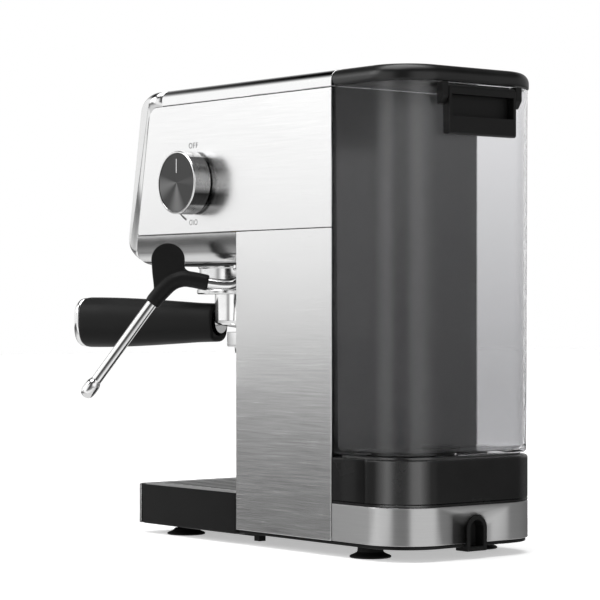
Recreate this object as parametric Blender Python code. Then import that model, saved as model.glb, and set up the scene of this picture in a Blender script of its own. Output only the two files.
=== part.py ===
"""Compact pump espresso machine, modelled as separate pieces with running gaps between them.

Machine axes: +X is the user's right, -Y the front, +Z up. Z = 0 is the worktop, X = 0 the middle of
the machine and Y = 0 the joint between the steel casing and the water tank behind it.
All sizes are in millimetres until they reach a mesh, which is in metres.
"""
import math

import bpy
import bmesh
from mathutils import Matrix, Vector

MM = 0.001
GAP = 0.3                 # clearance between neighbouring pieces

# Where the machine's own origin lies, so that the whole part is centred on the world origin
CENTRE_X = -33.2
CENTRE_Y = 118.4

# Driving dimensions
HALF_WIDTH = 63.0
SHEET = 1.0               # steel panel thickness
HEIGHT = 308.0
BASE_TOP = 9.6            # top of the base pan under the steel casing
COLUMN_FRONT = -99.6
HEAD_BOTTOM = 188.0
HEAD_SEAM = 208.0         # joint between the head's side panels and what is below them
HEAD_TOP_SEAM = 297.0
REAR = 66.3
REAR_RADIUS = 31.6
TANK_BOTTOM = 64.5
FRONT_AT_BOTTOM = -228.5  # front line of the head, which leans back, at HEAD_BOTTOM
FRONT_AT_TOP = -208.0     # the same line at HEIGHT
BEZEL_WIDTH = 11.0

GROUP_Y = -163.0
HANDLE_ANGLE = math.radians(18.0)
HANDLE_Z = 147.0
SPOUT_LENGTH = 44.0
SPOUT_WIDTH = 16.0
SPOUT_REACH = 14.0        # each outlet's distance from the group's axis
KNOB_Y = -145.9
KNOB_Z = 242.1
KNOB_RADIUS = 21.35
WAND_X = 40.9
WAND_Y = -117.0
WAND_DIRECTION = (0.7788, -0.6273)
TRAY_FRONT = -214.0
TRAY_TOP = 34.4
LID_AXIS_Y = 5.9
LID_AXIS_Z = 302.6
LID_BARREL = 5.4
BAIL_Y = 69.6
BAIL_Z = 292.5

LEAN = math.atan2(FRONT_AT_TOP - FRONT_AT_BOTTOM, HEIGHT - HEAD_BOTTOM)

MATERIALS = {
    "brushed_steel": ((0.62, 0.62, 0.61), 0.32, 1.0),
    "chrome": ((0.78, 0.78, 0.78), 0.10, 1.0),
    "dark_steel": ((0.10, 0.10, 0.10), 0.28, 1.0),
    "black_plastic": ((0.018, 0.018, 0.019), 0.42, 0.0),
    "gloss_black": ((0.010, 0.010, 0.011), 0.15, 0.0),
    "smoked_clear": ((0.12, 0.12, 0.12), 0.06, 0.0),
    "rubber": ((0.012, 0.012, 0.012), 0.70, 0.0),
    "aluminium": ((0.55, 0.55, 0.56), 0.45, 1.0),
    "brass": ((0.62, 0.45, 0.18), 0.35, 1.0),
    "silicone": ((0.80, 0.79, 0.76), 0.50, 0.0),
    "circuit_board": ((0.03, 0.16, 0.07), 0.50, 0.0),
}


def clear_scene():
    for old in list(bpy.data.objects):
        bpy.data.objects.remove(old, do_unlink=True)


def make_root():
    """The empty that every piece hangs from, at the machine's own origin."""
    root = bpy.data.objects.new("machine_origin", None)
    root.location = (CENTRE_X * MM, CENTRE_Y * MM, 0.0)
    bpy.context.scene.collection.objects.link(root)
    return root


def get_material(name):
    material = bpy.data.materials.get(name)
    if material is None:
        color, roughness, metallic = MATERIALS[name]
        material = bpy.data.materials.new(name)
        material.use_nodes = True
        shader = material.node_tree.nodes["Principled BSDF"]
        shader.inputs["Base Color"].default_value = (*color, 1.0)
        shader.inputs["Roughness"].default_value = roughness
        shader.inputs["Metallic"].default_value = metallic
    return material


def link(name, bm, material, pivot=(0.0, 0.0, 0.0)):
    """Turn a millimetre bmesh into an object whose origin is pivot."""
    bmesh.ops.translate(bm, verts=bm.verts, vec=-Vector(pivot))
    bmesh.ops.scale(bm, verts=bm.verts, vec=(MM, MM, MM))
    bmesh.ops.recalc_face_normals(bm, faces=bm.faces)
    mesh = bpy.data.meshes.new(name)
    bm.to_mesh(mesh)
    bm.free()
    mesh.shade_smooth()
    mesh.set_sharp_from_angle(angle=math.radians(35.0))
    piece = bpy.data.objects.new(name, mesh)
    piece.location = Vector(pivot) * MM
    piece.parent = ROOT
    if material is not None:
        mesh.materials.append(get_material(material))
    bpy.context.scene.collection.objects.link(piece)
    return piece


def combine(piece, bm, operation):
    """Cut or join a guide solid, given as a millimetre bmesh, with a piece."""
    guide = link(f"{piece.name}_{operation.lower()}_{len(piece.modifiers)}", bm, None)
    guide.hide_render = True
    guide.display_type = "WIRE"
    modifier = piece.modifiers.new(operation.lower(), "BOOLEAN")
    modifier.operation = operation
    modifier.solver = "EXACT"
    modifier.object = guide


def cut(piece, bm):
    combine(piece, bm, "DIFFERENCE")


def join(piece, bm):
    combine(piece, bm, "UNION")


# Outlines

def arc(centre, radius, start, end, steps):
    """Points on an arc, angles in degrees, ends included."""
    angles = [math.radians(start + (end - start) * i / steps) for i in range(steps + 1)]
    return [(centre[0] + radius * math.cos(a), centre[1] + radius * math.sin(a)) for a in angles]


def rounded(corners, steps=4):
    """Outline through corners (x, y, radius), each rounded by an arc of its radius."""
    points = []
    count = len(corners)
    for i, (x, y, radius) in enumerate(corners):
        here = Vector((x, y))
        if radius <= 0.0:
            points.append((x, y))
            continue
        to_last = (Vector(corners[i - 1][:2]) - here).normalized()
        to_next = (Vector(corners[(i + 1) % count][:2]) - here).normalized()
        half = to_last.angle(to_next) / 2.0
        centre = here + (to_last + to_next).normalized() * radius / math.sin(half)
        first = here + to_last * radius / math.tan(half) - centre
        last = here + to_next * radius / math.tan(half) - centre
        turn = last.angle_signed(first)
        for k in range(steps + 1):
            spoke = first.copy()
            spoke.rotate(Matrix.Rotation(turn * k / steps, 2))
            points.append(tuple(centre + spoke))
    return points


def rectangle(x0, x1, y0, y1, radius=0.0):
    return rounded([(x0, y0, radius), (x1, y0, radius), (x1, y1, radius), (x0, y1, radius)], 3)


def arch(half_width, low, high):
    """Round-topped doorway outline in X and Z."""
    crown = arc((0.0, high - half_width), half_width, 0.0, 180.0, 8)
    return [(half_width, low)] + crown + [(-half_width, low)]


def rear_plan(inset, front, rear=REAR):
    """Plan of the pieces behind the casing: straight sides and two large rear corners."""
    side = HALF_WIDTH - inset
    back = rear - inset
    radius = REAR_RADIUS - inset
    return rounded([(side, front, 0.0), (side, back, radius), (-side, back, radius),
                    (-side, front, 0.0)], 7)


# Solids, all as bmeshes in millimetres

def loft(layers):
    """Closed skin through equal-length rings of 3-D points, capped at both ends."""
    bm = bmesh.new()
    rings = [[bm.verts.new(point) for point in layer] for layer in layers]
    for low, high in zip(rings, rings[1:]):
        for i in range(len(low)):
            j = (i + 1) % len(low)
            bm.faces.new((low[i], low[j], high[j], high[i]))
    bm.faces.new(rings[0][::-1])
    bm.faces.new(rings[-1])
    return bm


def stack(layers):
    """Loft through (outline, z) pairs."""
    return loft([[(x, y, z) for x, y in outline] for outline, z in layers])


PLACE = {
    "X": lambda a, b, t: (t, a, b),
    "Y": lambda a, b, t: (a, t, b),
    "Z": lambda a, b, t: (a, b, t),
}


def prism(outline, axis, low, high):
    """Outline extruded along one axis."""
    place = PLACE[axis]
    return loft([[place(a, b, t) for a, b in outline] for t in (low, high)])


def box(x0, x1, y0, y1, z0, z1):
    return prism(rectangle(x0, x1, y0, y1), "Z", z0, z1)


def lathe(profile, centre, axis="Z", steps=24):
    """Profile of (radius, along) turned about an axis; a radius of 0 makes a closed end."""
    bm = bmesh.new()
    rings = []
    for radius, along in profile:
        if radius == 0.0:
            rings.append([bm.verts.new((0.0, 0.0, along))] * steps)
            continue
        spots = arc((0.0, 0.0), radius, 0.0, 360.0, steps)[:-1]
        rings.append([bm.verts.new((x, y, along)) for x, y in spots])
    pairs = list(zip(rings, rings[1:]))
    if profile[0][0] > 0.0:
        pairs.append((rings[-1], rings[0]))
    for low, high in pairs:
        for i in range(steps):
            j = (i + 1) % steps
            corners = list(dict.fromkeys((low[i], low[j], high[j], high[i])))
            bm.faces.new(corners)
    if axis == "X":
        bmesh.ops.rotate(bm, verts=bm.verts, matrix=Matrix.Rotation(math.radians(90.0), 3, "Y"))
    bmesh.ops.translate(bm, verts=bm.verts, vec=centre)
    return bm


def smooth_path(points, per_span=4):
    """Catmull-Rom curve through the route's own points."""
    path = [Vector(p) for p in points]
    ends = [path[0] * 2 - path[1]] + path + [path[-1] * 2 - path[-2]]
    result = []
    for p0, p1, p2, p3 in zip(ends, ends[1:], ends[2:], ends[3:]):
        for k in range(per_span):
            t = k / per_span
            result.append(0.5 * (2 * p1 + (p2 - p0) * t + (2 * p0 - 5 * p1 + 4 * p2 - p3) * t ** 2
                                 + (3 * p1 - p0 - 3 * p2 + p3) * t ** 3))
    return result + [path[-1]]


def ring_frames(path):
    """Two cross directions at each point of a path, carried along it without twist."""
    side = None
    for i, here in enumerate(path):
        ahead = (path[min(i + 1, len(path) - 1)] - path[max(i - 1, 0)]).normalized()
        if side is None:
            side = ahead.orthogonal()
        side = (side - ahead * side.dot(ahead)).normalized()
        yield here, side, ahead.cross(side)


def tube(path, radius, bore=0.0, sides=8):
    """Round bar along a path, or a pipe when it has a bore."""
    frames = list(ring_frames(path))

    def ring(frame, size):
        here, side, up = frame
        spots = arc((0.0, 0.0), size, 0.0, 360.0, sides)[:-1]
        return [here + side * a + up * b for a, b in spots]

    if bore <= 0.0:
        return loft([ring(frame, radius) for frame in frames])
    bm = bmesh.new()
    outer = [[bm.verts.new(p) for p in ring(frame, radius)] for frame in frames]
    inner = [[bm.verts.new(p) for p in ring(frame, bore)] for frame in frames]
    loop = outer + inner[::-1] + [outer[0]]
    for low, high in zip(loop, loop[1:]):
        for i in range(sides):
            j = (i + 1) % sides
            bm.faces.new((low[i], low[j], high[j], high[i]))
    return bm


def leaning(bm):
    """Move a solid from the flat drawing of the front panel to its place on the leaning front.

    On the drawing X is across, Z is up the panel and -Y is the outward normal, with Y = 0 on the
    head's front line at mid-height.
    """
    middle = (HEAD_SEAM + HEAD_TOP_SEAM) / 2.0
    y = FRONT_AT_BOTTOM + (middle - HEAD_BOTTOM) * math.tan(LEAN)
    turn = Matrix.Rotation(-LEAN, 4, "X")
    bmesh.ops.transform(bm, verts=bm.verts, matrix=Matrix.Translation((0.0, y, middle)) @ turn)
    return bm


def front_line(z):
    return FRONT_AT_BOTTOM + (z - HEAD_BOTTOM) * math.tan(LEAN)


# Base

def make_base():
    pan = link("base_pan", stack([(rounded([(61.5, -98.5, 2.0), (61.5, REAR - 1.5, 30.0),
                                            (-61.5, REAR - 1.5, 30.0), (-61.5, -98.5, 2.0)], 5), z)
                                  for z in (7.7, BASE_TOP)]), "black_plastic")
    join(pan, box(-49.0, 49.0, -198.0, -92.0, 4.6, 6.2))
    join(pan, box(-49.0, 49.0, -97.0, -92.0, 4.6, 8.5))
    housing = link("base_rear_housing", stack([(rear_plan(1.5, 0.5), 9.9), (rear_plan(1.5, 0.5), 33.8),
                                               (rear_plan(0.0, 0.5), 33.9), (rear_plan(0.0, 0.5), 35.4)]),
                   "black_plastic")
    band = link("base_rear_band", stack([(rear_plan(0.0, 0.5), 10.1), (rear_plan(0.0, 0.5), 33.6)]),
                "brushed_steel")
    cut(band, stack([(rear_plan(1.2, -5.0), 5.0), (rear_plan(1.2, -5.0), 40.0)]))
    for piece in (pan, housing, band):
        cut(piece, prism(arch(8.8, 0.0, 27.6), "Y", 55.7, 80.0))
    gland = link("cord_gland", prism(arch(8.5, 4.8, 27.3), "Y", 56.0, 67.2), "rubber")
    cut(gland, prism(arch(5.6, 7.6, 24.4), "Y", 59.0, 80.0))
    link("support_stub", box(52.0, 57.4, -87.0, -81.6, 3.0, 7.4), "black_plastic")


def make_foot(name, x, y, top):
    profile = [(0.0, 0.0), (13.2, 0.0), (13.2, 1.4), (10.4, 2.4), (8.2, 3.9), (8.0, top), (0.0, top)]
    link(name, lathe(profile, (x, y, 0.0), steps=20), "rubber", (x, y, 0.0))


def make_feet():
    for side, sign in (("right", 1.0), ("left", -1.0)):
        make_foot(f"front_foot_{side}", 46.0 * sign, -179.0, 4.3)
        make_foot(f"rear_foot_{side}", 46.0 * sign, 17.9, 7.4)


def make_tank_seat():
    seat = link("tank_seat", stack([(rear_plan(0.0, 0.5), 35.7), (rear_plan(0.0, 0.5), 63.0),
                                    (rear_plan(5.0, 4.0), 63.0), (rear_plan(5.0, 4.0), 64.2)]),
                "black_plastic")
    cut(seat, lathe([(0.0, 48.0), (9.6, 48.0), (9.6, 70.0), (0.0, 70.0)], (0.0, 33.0, 0.0), steps=16))
    for x in (-HALF_WIDTH, HALF_WIDTH):
        cut(seat, box(x - 1.4, x + 1.4, 31.0, 32.2, 38.0, 66.0))


# Casing

def make_column():
    for side, sign in (("right", 1.0), ("left", -1.0)):
        faces = sorted((sign * (HALF_WIDTH - SHEET), sign * HALF_WIDTH))
        link(f"column_side_{side}", box(*faces, COLUMN_FRONT, -0.5, BASE_TOP + GAP, HEAD_SEAM - 0.1),
             "brushed_steel")
    inner = HALF_WIDTH - SHEET - GAP
    link("column_front_panel", box(-inner, inner, COLUMN_FRONT, COLUMN_FRONT + SHEET,
                                   BASE_TOP + GAP, HEAD_SEAM - 1.0), "brushed_steel")
    link("rear_wall", box(-inner, inner, -2.8, -0.5, BASE_TOP + GAP, HEAD_TOP_SEAM - 0.1),
         "black_plastic")


def head_outline(inset, rear):
    """Side view of the head in Y and Z, at its outer line or drawn in from it by inset."""
    top = HEIGHT - inset
    low, upper, lower = HEAD_BOTTOM, 15.0, 18.0
    if inset > 0.0:
        low, upper, lower = HEAD_SEAM + inset - BEZEL_WIDTH, 9.0, 2.0
    shift = inset / math.cos(LEAN)
    return rounded([(rear, low, 0.0), (front_line(low) + shift, low, lower),
                    (front_line(top) + shift, top, upper), (rear, top, 0.0)], 5)


def make_head_sides():
    for side, sign in (("right", 1.0), ("left", -1.0)):
        faces = sorted((sign * (HALF_WIDTH - SHEET), sign * HALF_WIDTH))
        panel = link(f"head_side_{side}", prism(head_outline(BEZEL_WIDTH + GAP, -0.5), "X", *faces),
                     "brushed_steel")
        if side == "right":
            cut(panel, lathe([(0.0, -5.0), (4.6, -5.0), (4.6, 5.0), (0.0, 5.0)],
                             (HALF_WIDTH, KNOB_Y, KNOB_Z), "X", 12))


def make_head_bezel():
    outline = head_outline(0.0, -150.0)
    bezel = link("head_front_bezel", prism(outline, "X", -HALF_WIDTH, HALF_WIDTH), "chrome")
    cut(bezel, prism(head_outline(BEZEL_WIDTH, -100.0), "X", -80.0, 80.0))
    cut(bezel, box(-80.0, 80.0, -184.7, -100.0, HEAD_TOP_SEAM - 10.0, 320.0))
    cut(bezel, box(-80.0, 80.0, -204.7, -100.0, 150.0, HEAD_SEAM + 10.0))
    window = leaning(prism(rectangle(-53.0, 53.0, -38.0, 38.0, 6.0), "Y", -20.0, 20.0))
    cut(bezel, window)


def make_head_trims():
    half = HALF_WIDTH
    top = [(half, HEAD_TOP_SEAM + 0.2)] + arc((half - 7.0, HEIGHT - 7.0), 7.0, 0.0, 90.0, 4)
    top += [(-x, z) for x, z in reversed(top)]
    cover = link("head_top_trim", prism(top, "Y", -184.4, -0.5), "chrome")
    cut(cover, box(-60.0, 60.0, -181.0, -4.0, 290.0, 304.0))
    cut(cover, prism(rectangle(-52.0, 52.0, -176.0, -9.0, 6.0), "Z", 306.0, 320.0))
    low = arc((half - 10.0, HEAD_BOTTOM + 10.0), 10.0, -90.0, 0.0, 4) + [(half, HEAD_SEAM - 0.1)]
    low += [(-x, z) for x, z in reversed(low)]
    rail = link("head_lower_trim", prism(low, "Y", -204.4, COLUMN_FRONT - GAP), "chrome")
    cut(rail, box(-52.0, 52.0, -200.0, -106.0, 180.0, 220.0))


def make_cup_warmer():
    plate = link("cup_warmer_plate", prism(rectangle(-51.7, 51.7, -175.7, -9.3, 5.7), "Z", 306.3, 307.3),
                 "brushed_steel")
    for row in range(7):
        y = -160.0 + row * 22.5
        cut(plate, prism(rectangle(-38.0, 38.0, y, y + 4.0, 1.9), "Z", 300.0, 312.0))


def make_underside():
    plate = link("head_underside_plate", box(-51.7, 51.7, -199.7, -106.3, 186.5, 190.0),
                 "black_plastic")
    cut(plate, lathe([(0.0, 180.0), (28.3, 180.0), (28.3, 200.0), (0.0, 200.0)],
                     (0.0, GROUP_Y, 0.0), steps=24))
    cut(plate, lathe([(0.0, 180.0), (7.8, 180.0), (7.8, 200.0), (0.0, 200.0)],
                     (WAND_X, WAND_Y, 0.0), steps=16))


# Front controls

BUTTONS = (("power_button", -30.0), ("brew_button", 0.0), ("steam_button", 30.0))
BUTTON_RADIUS = 9.0
BUTTON_UP = -6.0


def flat_disc(x, z, radius, y0, y1, steps=20):
    outline = [(x + a, z + b) for a, b in arc((0.0, 0.0), radius, 0.0, 360.0, steps)[:-1]]
    return prism(outline, "Y", y0, y1)


def make_front_controls():
    panel = link("control_panel", leaning(prism(rectangle(-52.7, 52.7, -37.7, 37.7, 5.7), "Y", 1.5, 3.5)),
                 "brushed_steel")
    for name, x in BUTTONS:
        cut(panel, leaning(flat_disc(x, BUTTON_UP, BUTTON_RADIUS + 0.4, -5.0, 9.0)))
        anchor = leaning(flat_disc(x, BUTTON_UP, 1.0, 0.0, 1.0))
        pivot = sum((v.co for v in anchor.verts), Vector()) / len(anchor.verts)
        anchor.free()
        button = link(name, leaning(flat_disc(x, BUTTON_UP, BUTTON_RADIUS, -0.6, 6.0)), "gloss_black",
                      tuple(pivot))
        join(button, leaning(flat_disc(x, BUTTON_UP, 2.5, 5.0, 8.8, 12)))
    link("control_board", leaning(box(-48.0, 48.0, 11.2, 12.8, -30.0, 30.0)), "circuit_board")


# Steam control

def make_steam_knob():
    pivot = (HALF_WIDTH, KNOB_Y, KNOB_Z)
    shell = [(4.4, 3.0), (4.4, 1.0), (19.6, 1.0), (KNOB_RADIUS, 2.2), (KNOB_RADIUS, 14.8),
             (20.6, 15.8), (19.4, 15.8), (19.4, 13.8), (4.4, 13.8)]
    link("steam_knob_body", lathe(shell, pivot, "X", 28), "chrome", pivot)
    face = [(0.0, 14.1), (19.1, 14.1), (19.1, 15.4), (0.0, 15.2)]
    link("steam_knob_cap", lathe(face, pivot, "X", 28), "dark_steel", pivot)
    link("valve_stem", lathe([(0.0, -14.0), (4.1, -14.0), (4.1, 13.6), (0.0, 13.6)], pivot, "X", 12),
         "brass", pivot)
    valve = link("steam_valve", box(40.0, 60.5, KNOB_Y - 11.0, KNOB_Y + 11.0, KNOB_Z - 11.0, KNOB_Z + 11.0),
                 "brass")
    cut(valve, lathe([(0.0, -14.6), (4.4, -14.6), (4.4, 5.0), (0.0, 5.0)], pivot, "X", 12))


# Brewing group

def make_group():
    at = (0.0, GROUP_Y, 0.0)
    collar = [(32.2, 167.0), (38.2, 167.0), (39.2, 168.0), (39.2, 170.0), (38.4, 171.0), (38.4, 186.2),
              (28.3, 186.2), (28.3, 183.0), (32.2, 183.0)]
    link("group_collar", lathe(collar, at, steps=28), "chrome")
    link("group_gasket", lathe([(28.3, 178.5), (31.8, 178.5), (31.8, 182.7), (28.3, 182.7)], at, steps=24),
         "silicone")
    screen = [(2.2, 178.0), (26.0, 178.0), (27.0, 178.6), (27.0, 179.7), (2.2, 179.7)]
    link("shower_screen", lathe(screen, at, steps=24), "chrome")
    screw = [(0.0, 176.5), (4.0, 176.5), (4.0, 177.7), (1.9, 177.7), (1.9, 186.0), (0.0, 186.0)]
    link("shower_screw", lathe(screw, at, steps=12), "chrome")
    block = link("thermoblock", box(-36.0, 36.0, -195.0, -131.0, 190.5, 232.0), "aluminium")
    join(block, lathe([(0.0, 180.0), (28.0, 180.0), (28.0, 200.0), (0.0, 200.0)], at, steps=24))
    cut(block, lathe([(0.0, 170.0), (2.3, 170.0), (2.3, 187.0), (0.0, 187.0)], at, steps=12))


# Portafilter

def make_portafilter_bowl():
    at = (0.0, GROUP_Y, 0.0)
    bowl = [(3.5, 141.0), (8.5, 141.0), (10.0, 143.0), (24.5, 145.6), (26.6, 147.6), (26.6, 168.0),
            (31.6, 168.0), (31.6, 178.2), (28.8, 178.2), (28.8, 176.2), (24.5, 176.2), (24.5, 150.0),
            (3.5, 150.0)]
    link("portafilter_body", lathe(bowl, at, steps=24), "chrome", at)
    basket = [(0.0, 153.0), (22.6, 153.0), (24.1, 154.5), (24.1, 176.5), (28.4, 176.5), (28.4, 177.7),
              (23.1, 177.7), (23.1, 154.4), (0.0, 154.4)]
    link("filter_basket", lathe(basket, at, steps=24), "brushed_steel", at)


def spout_plan(inset):
    """Rounded block across the handle's direction."""
    flat = rectangle(-SPOUT_LENGTH / 2.0 + inset, SPOUT_LENGTH / 2.0 - inset,
                     -SPOUT_WIDTH / 2.0 + inset, SPOUT_WIDTH / 2.0 - inset, 3.0 - inset)
    sin, cos = math.sin(HANDLE_ANGLE), math.cos(HANDLE_ANGLE)
    return [(x * cos - y * sin, GROUP_Y + x * sin + y * cos) for x, y in flat]


def make_spout():
    at = (0.0, GROUP_Y, 0.0)
    spout = link("coffee_spout", stack([(spout_plan(1.2), 130.2), (spout_plan(0.0), 131.4),
                                        (spout_plan(0.0), 140.7)]), "chrome", at)
    for side in (-SPOUT_REACH, SPOUT_REACH):
        outlet = (side * math.cos(HANDLE_ANGLE), GROUP_Y + side * math.sin(HANDLE_ANGLE), 0.0)
        join(spout, lathe([(0.0, 126.0), (4.4, 126.0), (5.0, 132.0), (0.0, 132.0)], outlet, steps=12))
        cut(spout, lathe([(0.0, 120.0), (2.8, 120.0), (2.8, 134.0), (0.0, 134.0)], outlet, steps=12))


def along_handle(reach, side, z):
    """A point by its reach from the group's axis, its offset to the side and its height."""
    sin, cos = math.sin(HANDLE_ANGLE), math.cos(HANDLE_ANGLE)
    return (reach * sin + side * cos, GROUP_Y - reach * cos + side * sin, z)


def handle_ring(reach, height, width, steps=20, power=0.72):
    """Rounded-square cross-section of the handle."""
    ring = []
    for k in range(steps):
        a = 2.0 * math.pi * k / steps
        c, s = math.cos(a), math.sin(a)
        side = math.copysign(abs(c) ** power, c) * width / 2.0
        up = math.copysign(abs(s) ** power, s) * height / 2.0
        ring.append(along_handle(reach, side, HANDLE_Z + up))
    return ring


def make_handle():
    at = (0.0, GROUP_Y, 0.0)
    neck = [handle_ring(r, 2 * s, 2 * s, 16, 1.0) for r, s in ((27.0, 7.5), (31.0, 6.8), (35.2, 7.5))]
    link("portafilter_neck", loft(neck), "chrome", at)
    sections = [(28.8, 25.0), (29.8, 27.0), (36.0, 27.6), (60.0, 29.4), (100.0, 33.0), (142.0, 36.6),
                (144.5, 36.0)]
    grip = link("portafilter_grip", loft([handle_ring(r, h, 0.8 * h) for r, h in sections]), "black_plastic",
                at)
    cut(grip, loft([handle_ring(r, 18.8, 18.8, 16, 1.0) for r in (20.0, 35.6)]))
    cap = [(144.9, 35.2), (147.6, 35.6), (149.4, 33.4), (150.2, 29.0)]
    link("grip_end_cap", loft([handle_ring(r, h, 0.8 * h) for r, h in cap]), "chrome", at)


# Steam wand

def wand_point(u, z):
    return Vector((WAND_X + u * WAND_DIRECTION[0], WAND_Y + u * WAND_DIRECTION[1], z))


WAND_ROUTE = ((0.0, 190.0), (0.0, 184.0), (2.4, 177.6), (8.0, 173.8), (14.6, 173.0), (25.7, 174.2),
              (36.0, 176.3), (43.0, 176.9), (50.0, 174.6), (56.0, 169.4), (64.0, 160.0), (86.0, 129.8),
              (101.5, 108.5))


def make_wand():
    pivot = (WAND_X, WAND_Y, 0.0)
    path = smooth_path([wand_point(u, z) for u, z in WAND_ROUTE], 3)
    link("wand_pipe", tube(path, 3.6), "chrome", pivot)
    first, last = 5 * 3, 10 * 3
    sleeve = link("wand_sleeve", tube(path[first:last + 1], 5.5, 4.1, 12), "black_plastic", pivot)
    face = Vector((-WAND_DIRECTION[1], WAND_DIRECTION[0], 0.0))
    paddle = [wand_point(53.0 + 11.3 * c, 189.9 + 11.3 * s) for c, s in arc((0.0, 0.0), 1.0, -12.0, 190.0, 14)]
    paddle += [wand_point(u, z) for u, z in ((41.9, 185.2), (41.0, 182.9), (42.5, 181.6), (45.0, 180.8),
                                             (50.0, 180.0), (55.6, 176.0), (59.5, 172.3), (61.8, 170.0),
                                             (62.8, 174.5), (63.7, 181.0))]
    join(sleeve, loft([[p + face * t for p in paddle] for t in (-2.6, 2.6)]))
    tip_start = wand_point(*WAND_ROUTE[-1])
    lean = (tip_start - wand_point(*WAND_ROUTE[-2])).normalized()
    spots = ((0.3, 3.4), (1.2, 4.7), (9.5, 4.9), (12.0, 4.4), (13.6, 2.8), (14.2, 1.0))
    frame = list(ring_frames([tip_start, tip_start + lean]))[0]
    rings = [[tip_start + lean * t + frame[1] * a + frame[2] * b
              for a, b in arc((0.0, 0.0), r, 0.0, 360.0, 12)[:-1]] for t, r in spots]
    link("wand_tip", loft(rings), "chrome", pivot)
    nut = [(4.0, 182.6), (8.4, 182.6), (9.2, 183.4), (9.2, 186.2), (7.5, 186.2), (7.5, 195.0), (4.0, 195.0)]
    link("wand_swivel_nut", lathe(nut, pivot, steps=16), "chrome")


# Drip tray

def tray_plan(inset):
    side = HALF_WIDTH - 0.3 - inset
    front, back = TRAY_FRONT + 4.3 + inset, COLUMN_FRONT - 0.6 - inset
    return rectangle(-side, side, front, back, 1.6)


def make_drip_tray():
    pivot = (0.0, TRAY_FRONT, 0.0)
    link("drip_tray", stack([(tray_plan(1.2), 6.5), (tray_plan(0.0), 8.0), (tray_plan(0.0), 31.9),
                             (tray_plan(2.2), 31.9), (tray_plan(2.2), 9.0)]), "black_plastic", pivot)
    side = HALF_WIDTH - 0.3
    outline = rounded([(-side, TRAY_FRONT + 4.0, 0.0), (-side, TRAY_FRONT, 3.0), (side, TRAY_FRONT, 3.0),
                       (side, TRAY_FRONT + 4.0, 0.0)])
    link("tray_front_fascia", prism(outline, "Z", 6.5, TRAY_TOP), "brushed_steel", pivot)
    grid = link("drip_grid", prism(tray_plan(0.2), "Z", 32.2, TRAY_TOP), "brushed_steel", pivot)
    for row in range(9):
        y = -201.0 + row * 10.8
        cut(grid, prism(rectangle(-50.0, 50.0, y, y + 5.2, 2.4), "Z", 28.0, 40.0))


# Water tank

def make_water_tank():
    outer = [(rear_plan(2.6, 2.6), TANK_BOTTOM), (rear_plan(1.0, 1.0), TANK_BOTTOM + 2.0),
             (rear_plan(0.0, 0.5), HEAD_TOP_SEAM - 0.1)]
    inner = [(rear_plan(2.0, 2.5), HEAD_TOP_SEAM - 0.1), (rear_plan(3.0, 3.0), TANK_BOTTOM + 2.0)]
    tank = link("water_tank", stack(outer + inner), "smoked_clear")
    cut(tank, lathe([(0.0, 60.0), (7.0, 60.0), (7.0, 70.0), (0.0, 70.0)], (0.0, 33.0, 0.0), steps=16))
    valve = [(0.0, 50.0), (5.5, 50.0), (6.6, 52.0), (6.6, 66.8), (12.0, 66.8), (12.0, 69.0), (0.0, 69.0)]
    link("tank_valve", lathe(valve, (0.0, 33.0, 0.0), steps=16), "rubber")


def lid_layer(z, inset):
    """Plan of the lid at one height; its front edge is a barrel about the hinge axis."""
    drop = z - LID_AXIS_Z
    front = LID_AXIS_Y - math.sqrt(max(LID_BARREL ** 2 - drop ** 2, 0.0))
    return rear_plan(inset, front, REAR + 1.2)


def make_tank_lid():
    layers = [(lid_layer(297.2, 0.8), 297.2), (lid_layer(298.0, 0.0), 298.0), (lid_layer(300.0, 0.0), 300.0)]
    for k in range(5):
        a = math.radians(22.5 * k)
        z = HEIGHT - 7.0 + 7.0 * math.sin(a)
        layers.append((lid_layer(z, 7.0 - 7.0 * math.cos(a)), z))
    link("tank_lid", stack(layers), "gloss_black", (0.0, LID_AXIS_Y, LID_AXIS_Z))


def make_tank_handle():
    pivot = (0.0, BAIL_Y, BAIL_Z)
    half = 2.95
    side = arc((BAIL_Y, BAIL_Z), half, 0.0, 180.0, 8)
    side += [(BAIL_Y - half, 266.0), (BAIL_Y - half + 1.5, 264.5), (BAIL_Y + half - 1.5, 264.5),
             (BAIL_Y + half, 266.0)]
    bail = link("tank_handle", prism(side, "X", -28.6, 28.6), "black_plastic", pivot)
    cut(bail, box(-26.4, 26.4, 60.0, 80.0, 276.0, 289.4))
    for name, sign in (("handle_ear_right", 1.0), ("handle_ear_left", -1.0)):
        outer = sorted((sign * 28.9, sign * 33.9))
        ear = link(name, box(*outer, REAR + GAP, 72.2, 283.0, 296.6), "black_plastic")
        pin = [(0.0, 0.0), (1.2, 0.0), (1.2, 4.0), (0.0, 4.0)]
        start = min(sign * 27.4, sign * 31.4)
        join(ear, lathe(pin, (start, BAIL_Y, BAIL_Z), "X", 12))
        bore = [(0.0, -4.0), (1.5, -4.0), (1.5, 4.0), (0.0, 4.0)]
        cut(bail, lathe(bore, (sign * 27.0, BAIL_Y, BAIL_Z), "X", 12))


# Inside the casing

def make_pump():
    profile = [(0.0, 58.0), (5.0, 58.0), (5.0, 66.0), (16.5, 66.0), (16.5, 104.0), (9.0, 104.0), (9.0, 116.0),
               (5.0, 116.0), (5.0, 122.0), (0.0, 122.0)]
    link("pump", lathe(profile, (-20.0, -50.0, 0.0), steps=16), "aluminium")
    link("pump_bracket", box(-30.0, -10.0, -33.2, -3.1, 80.0, 92.0), "rubber")


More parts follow.
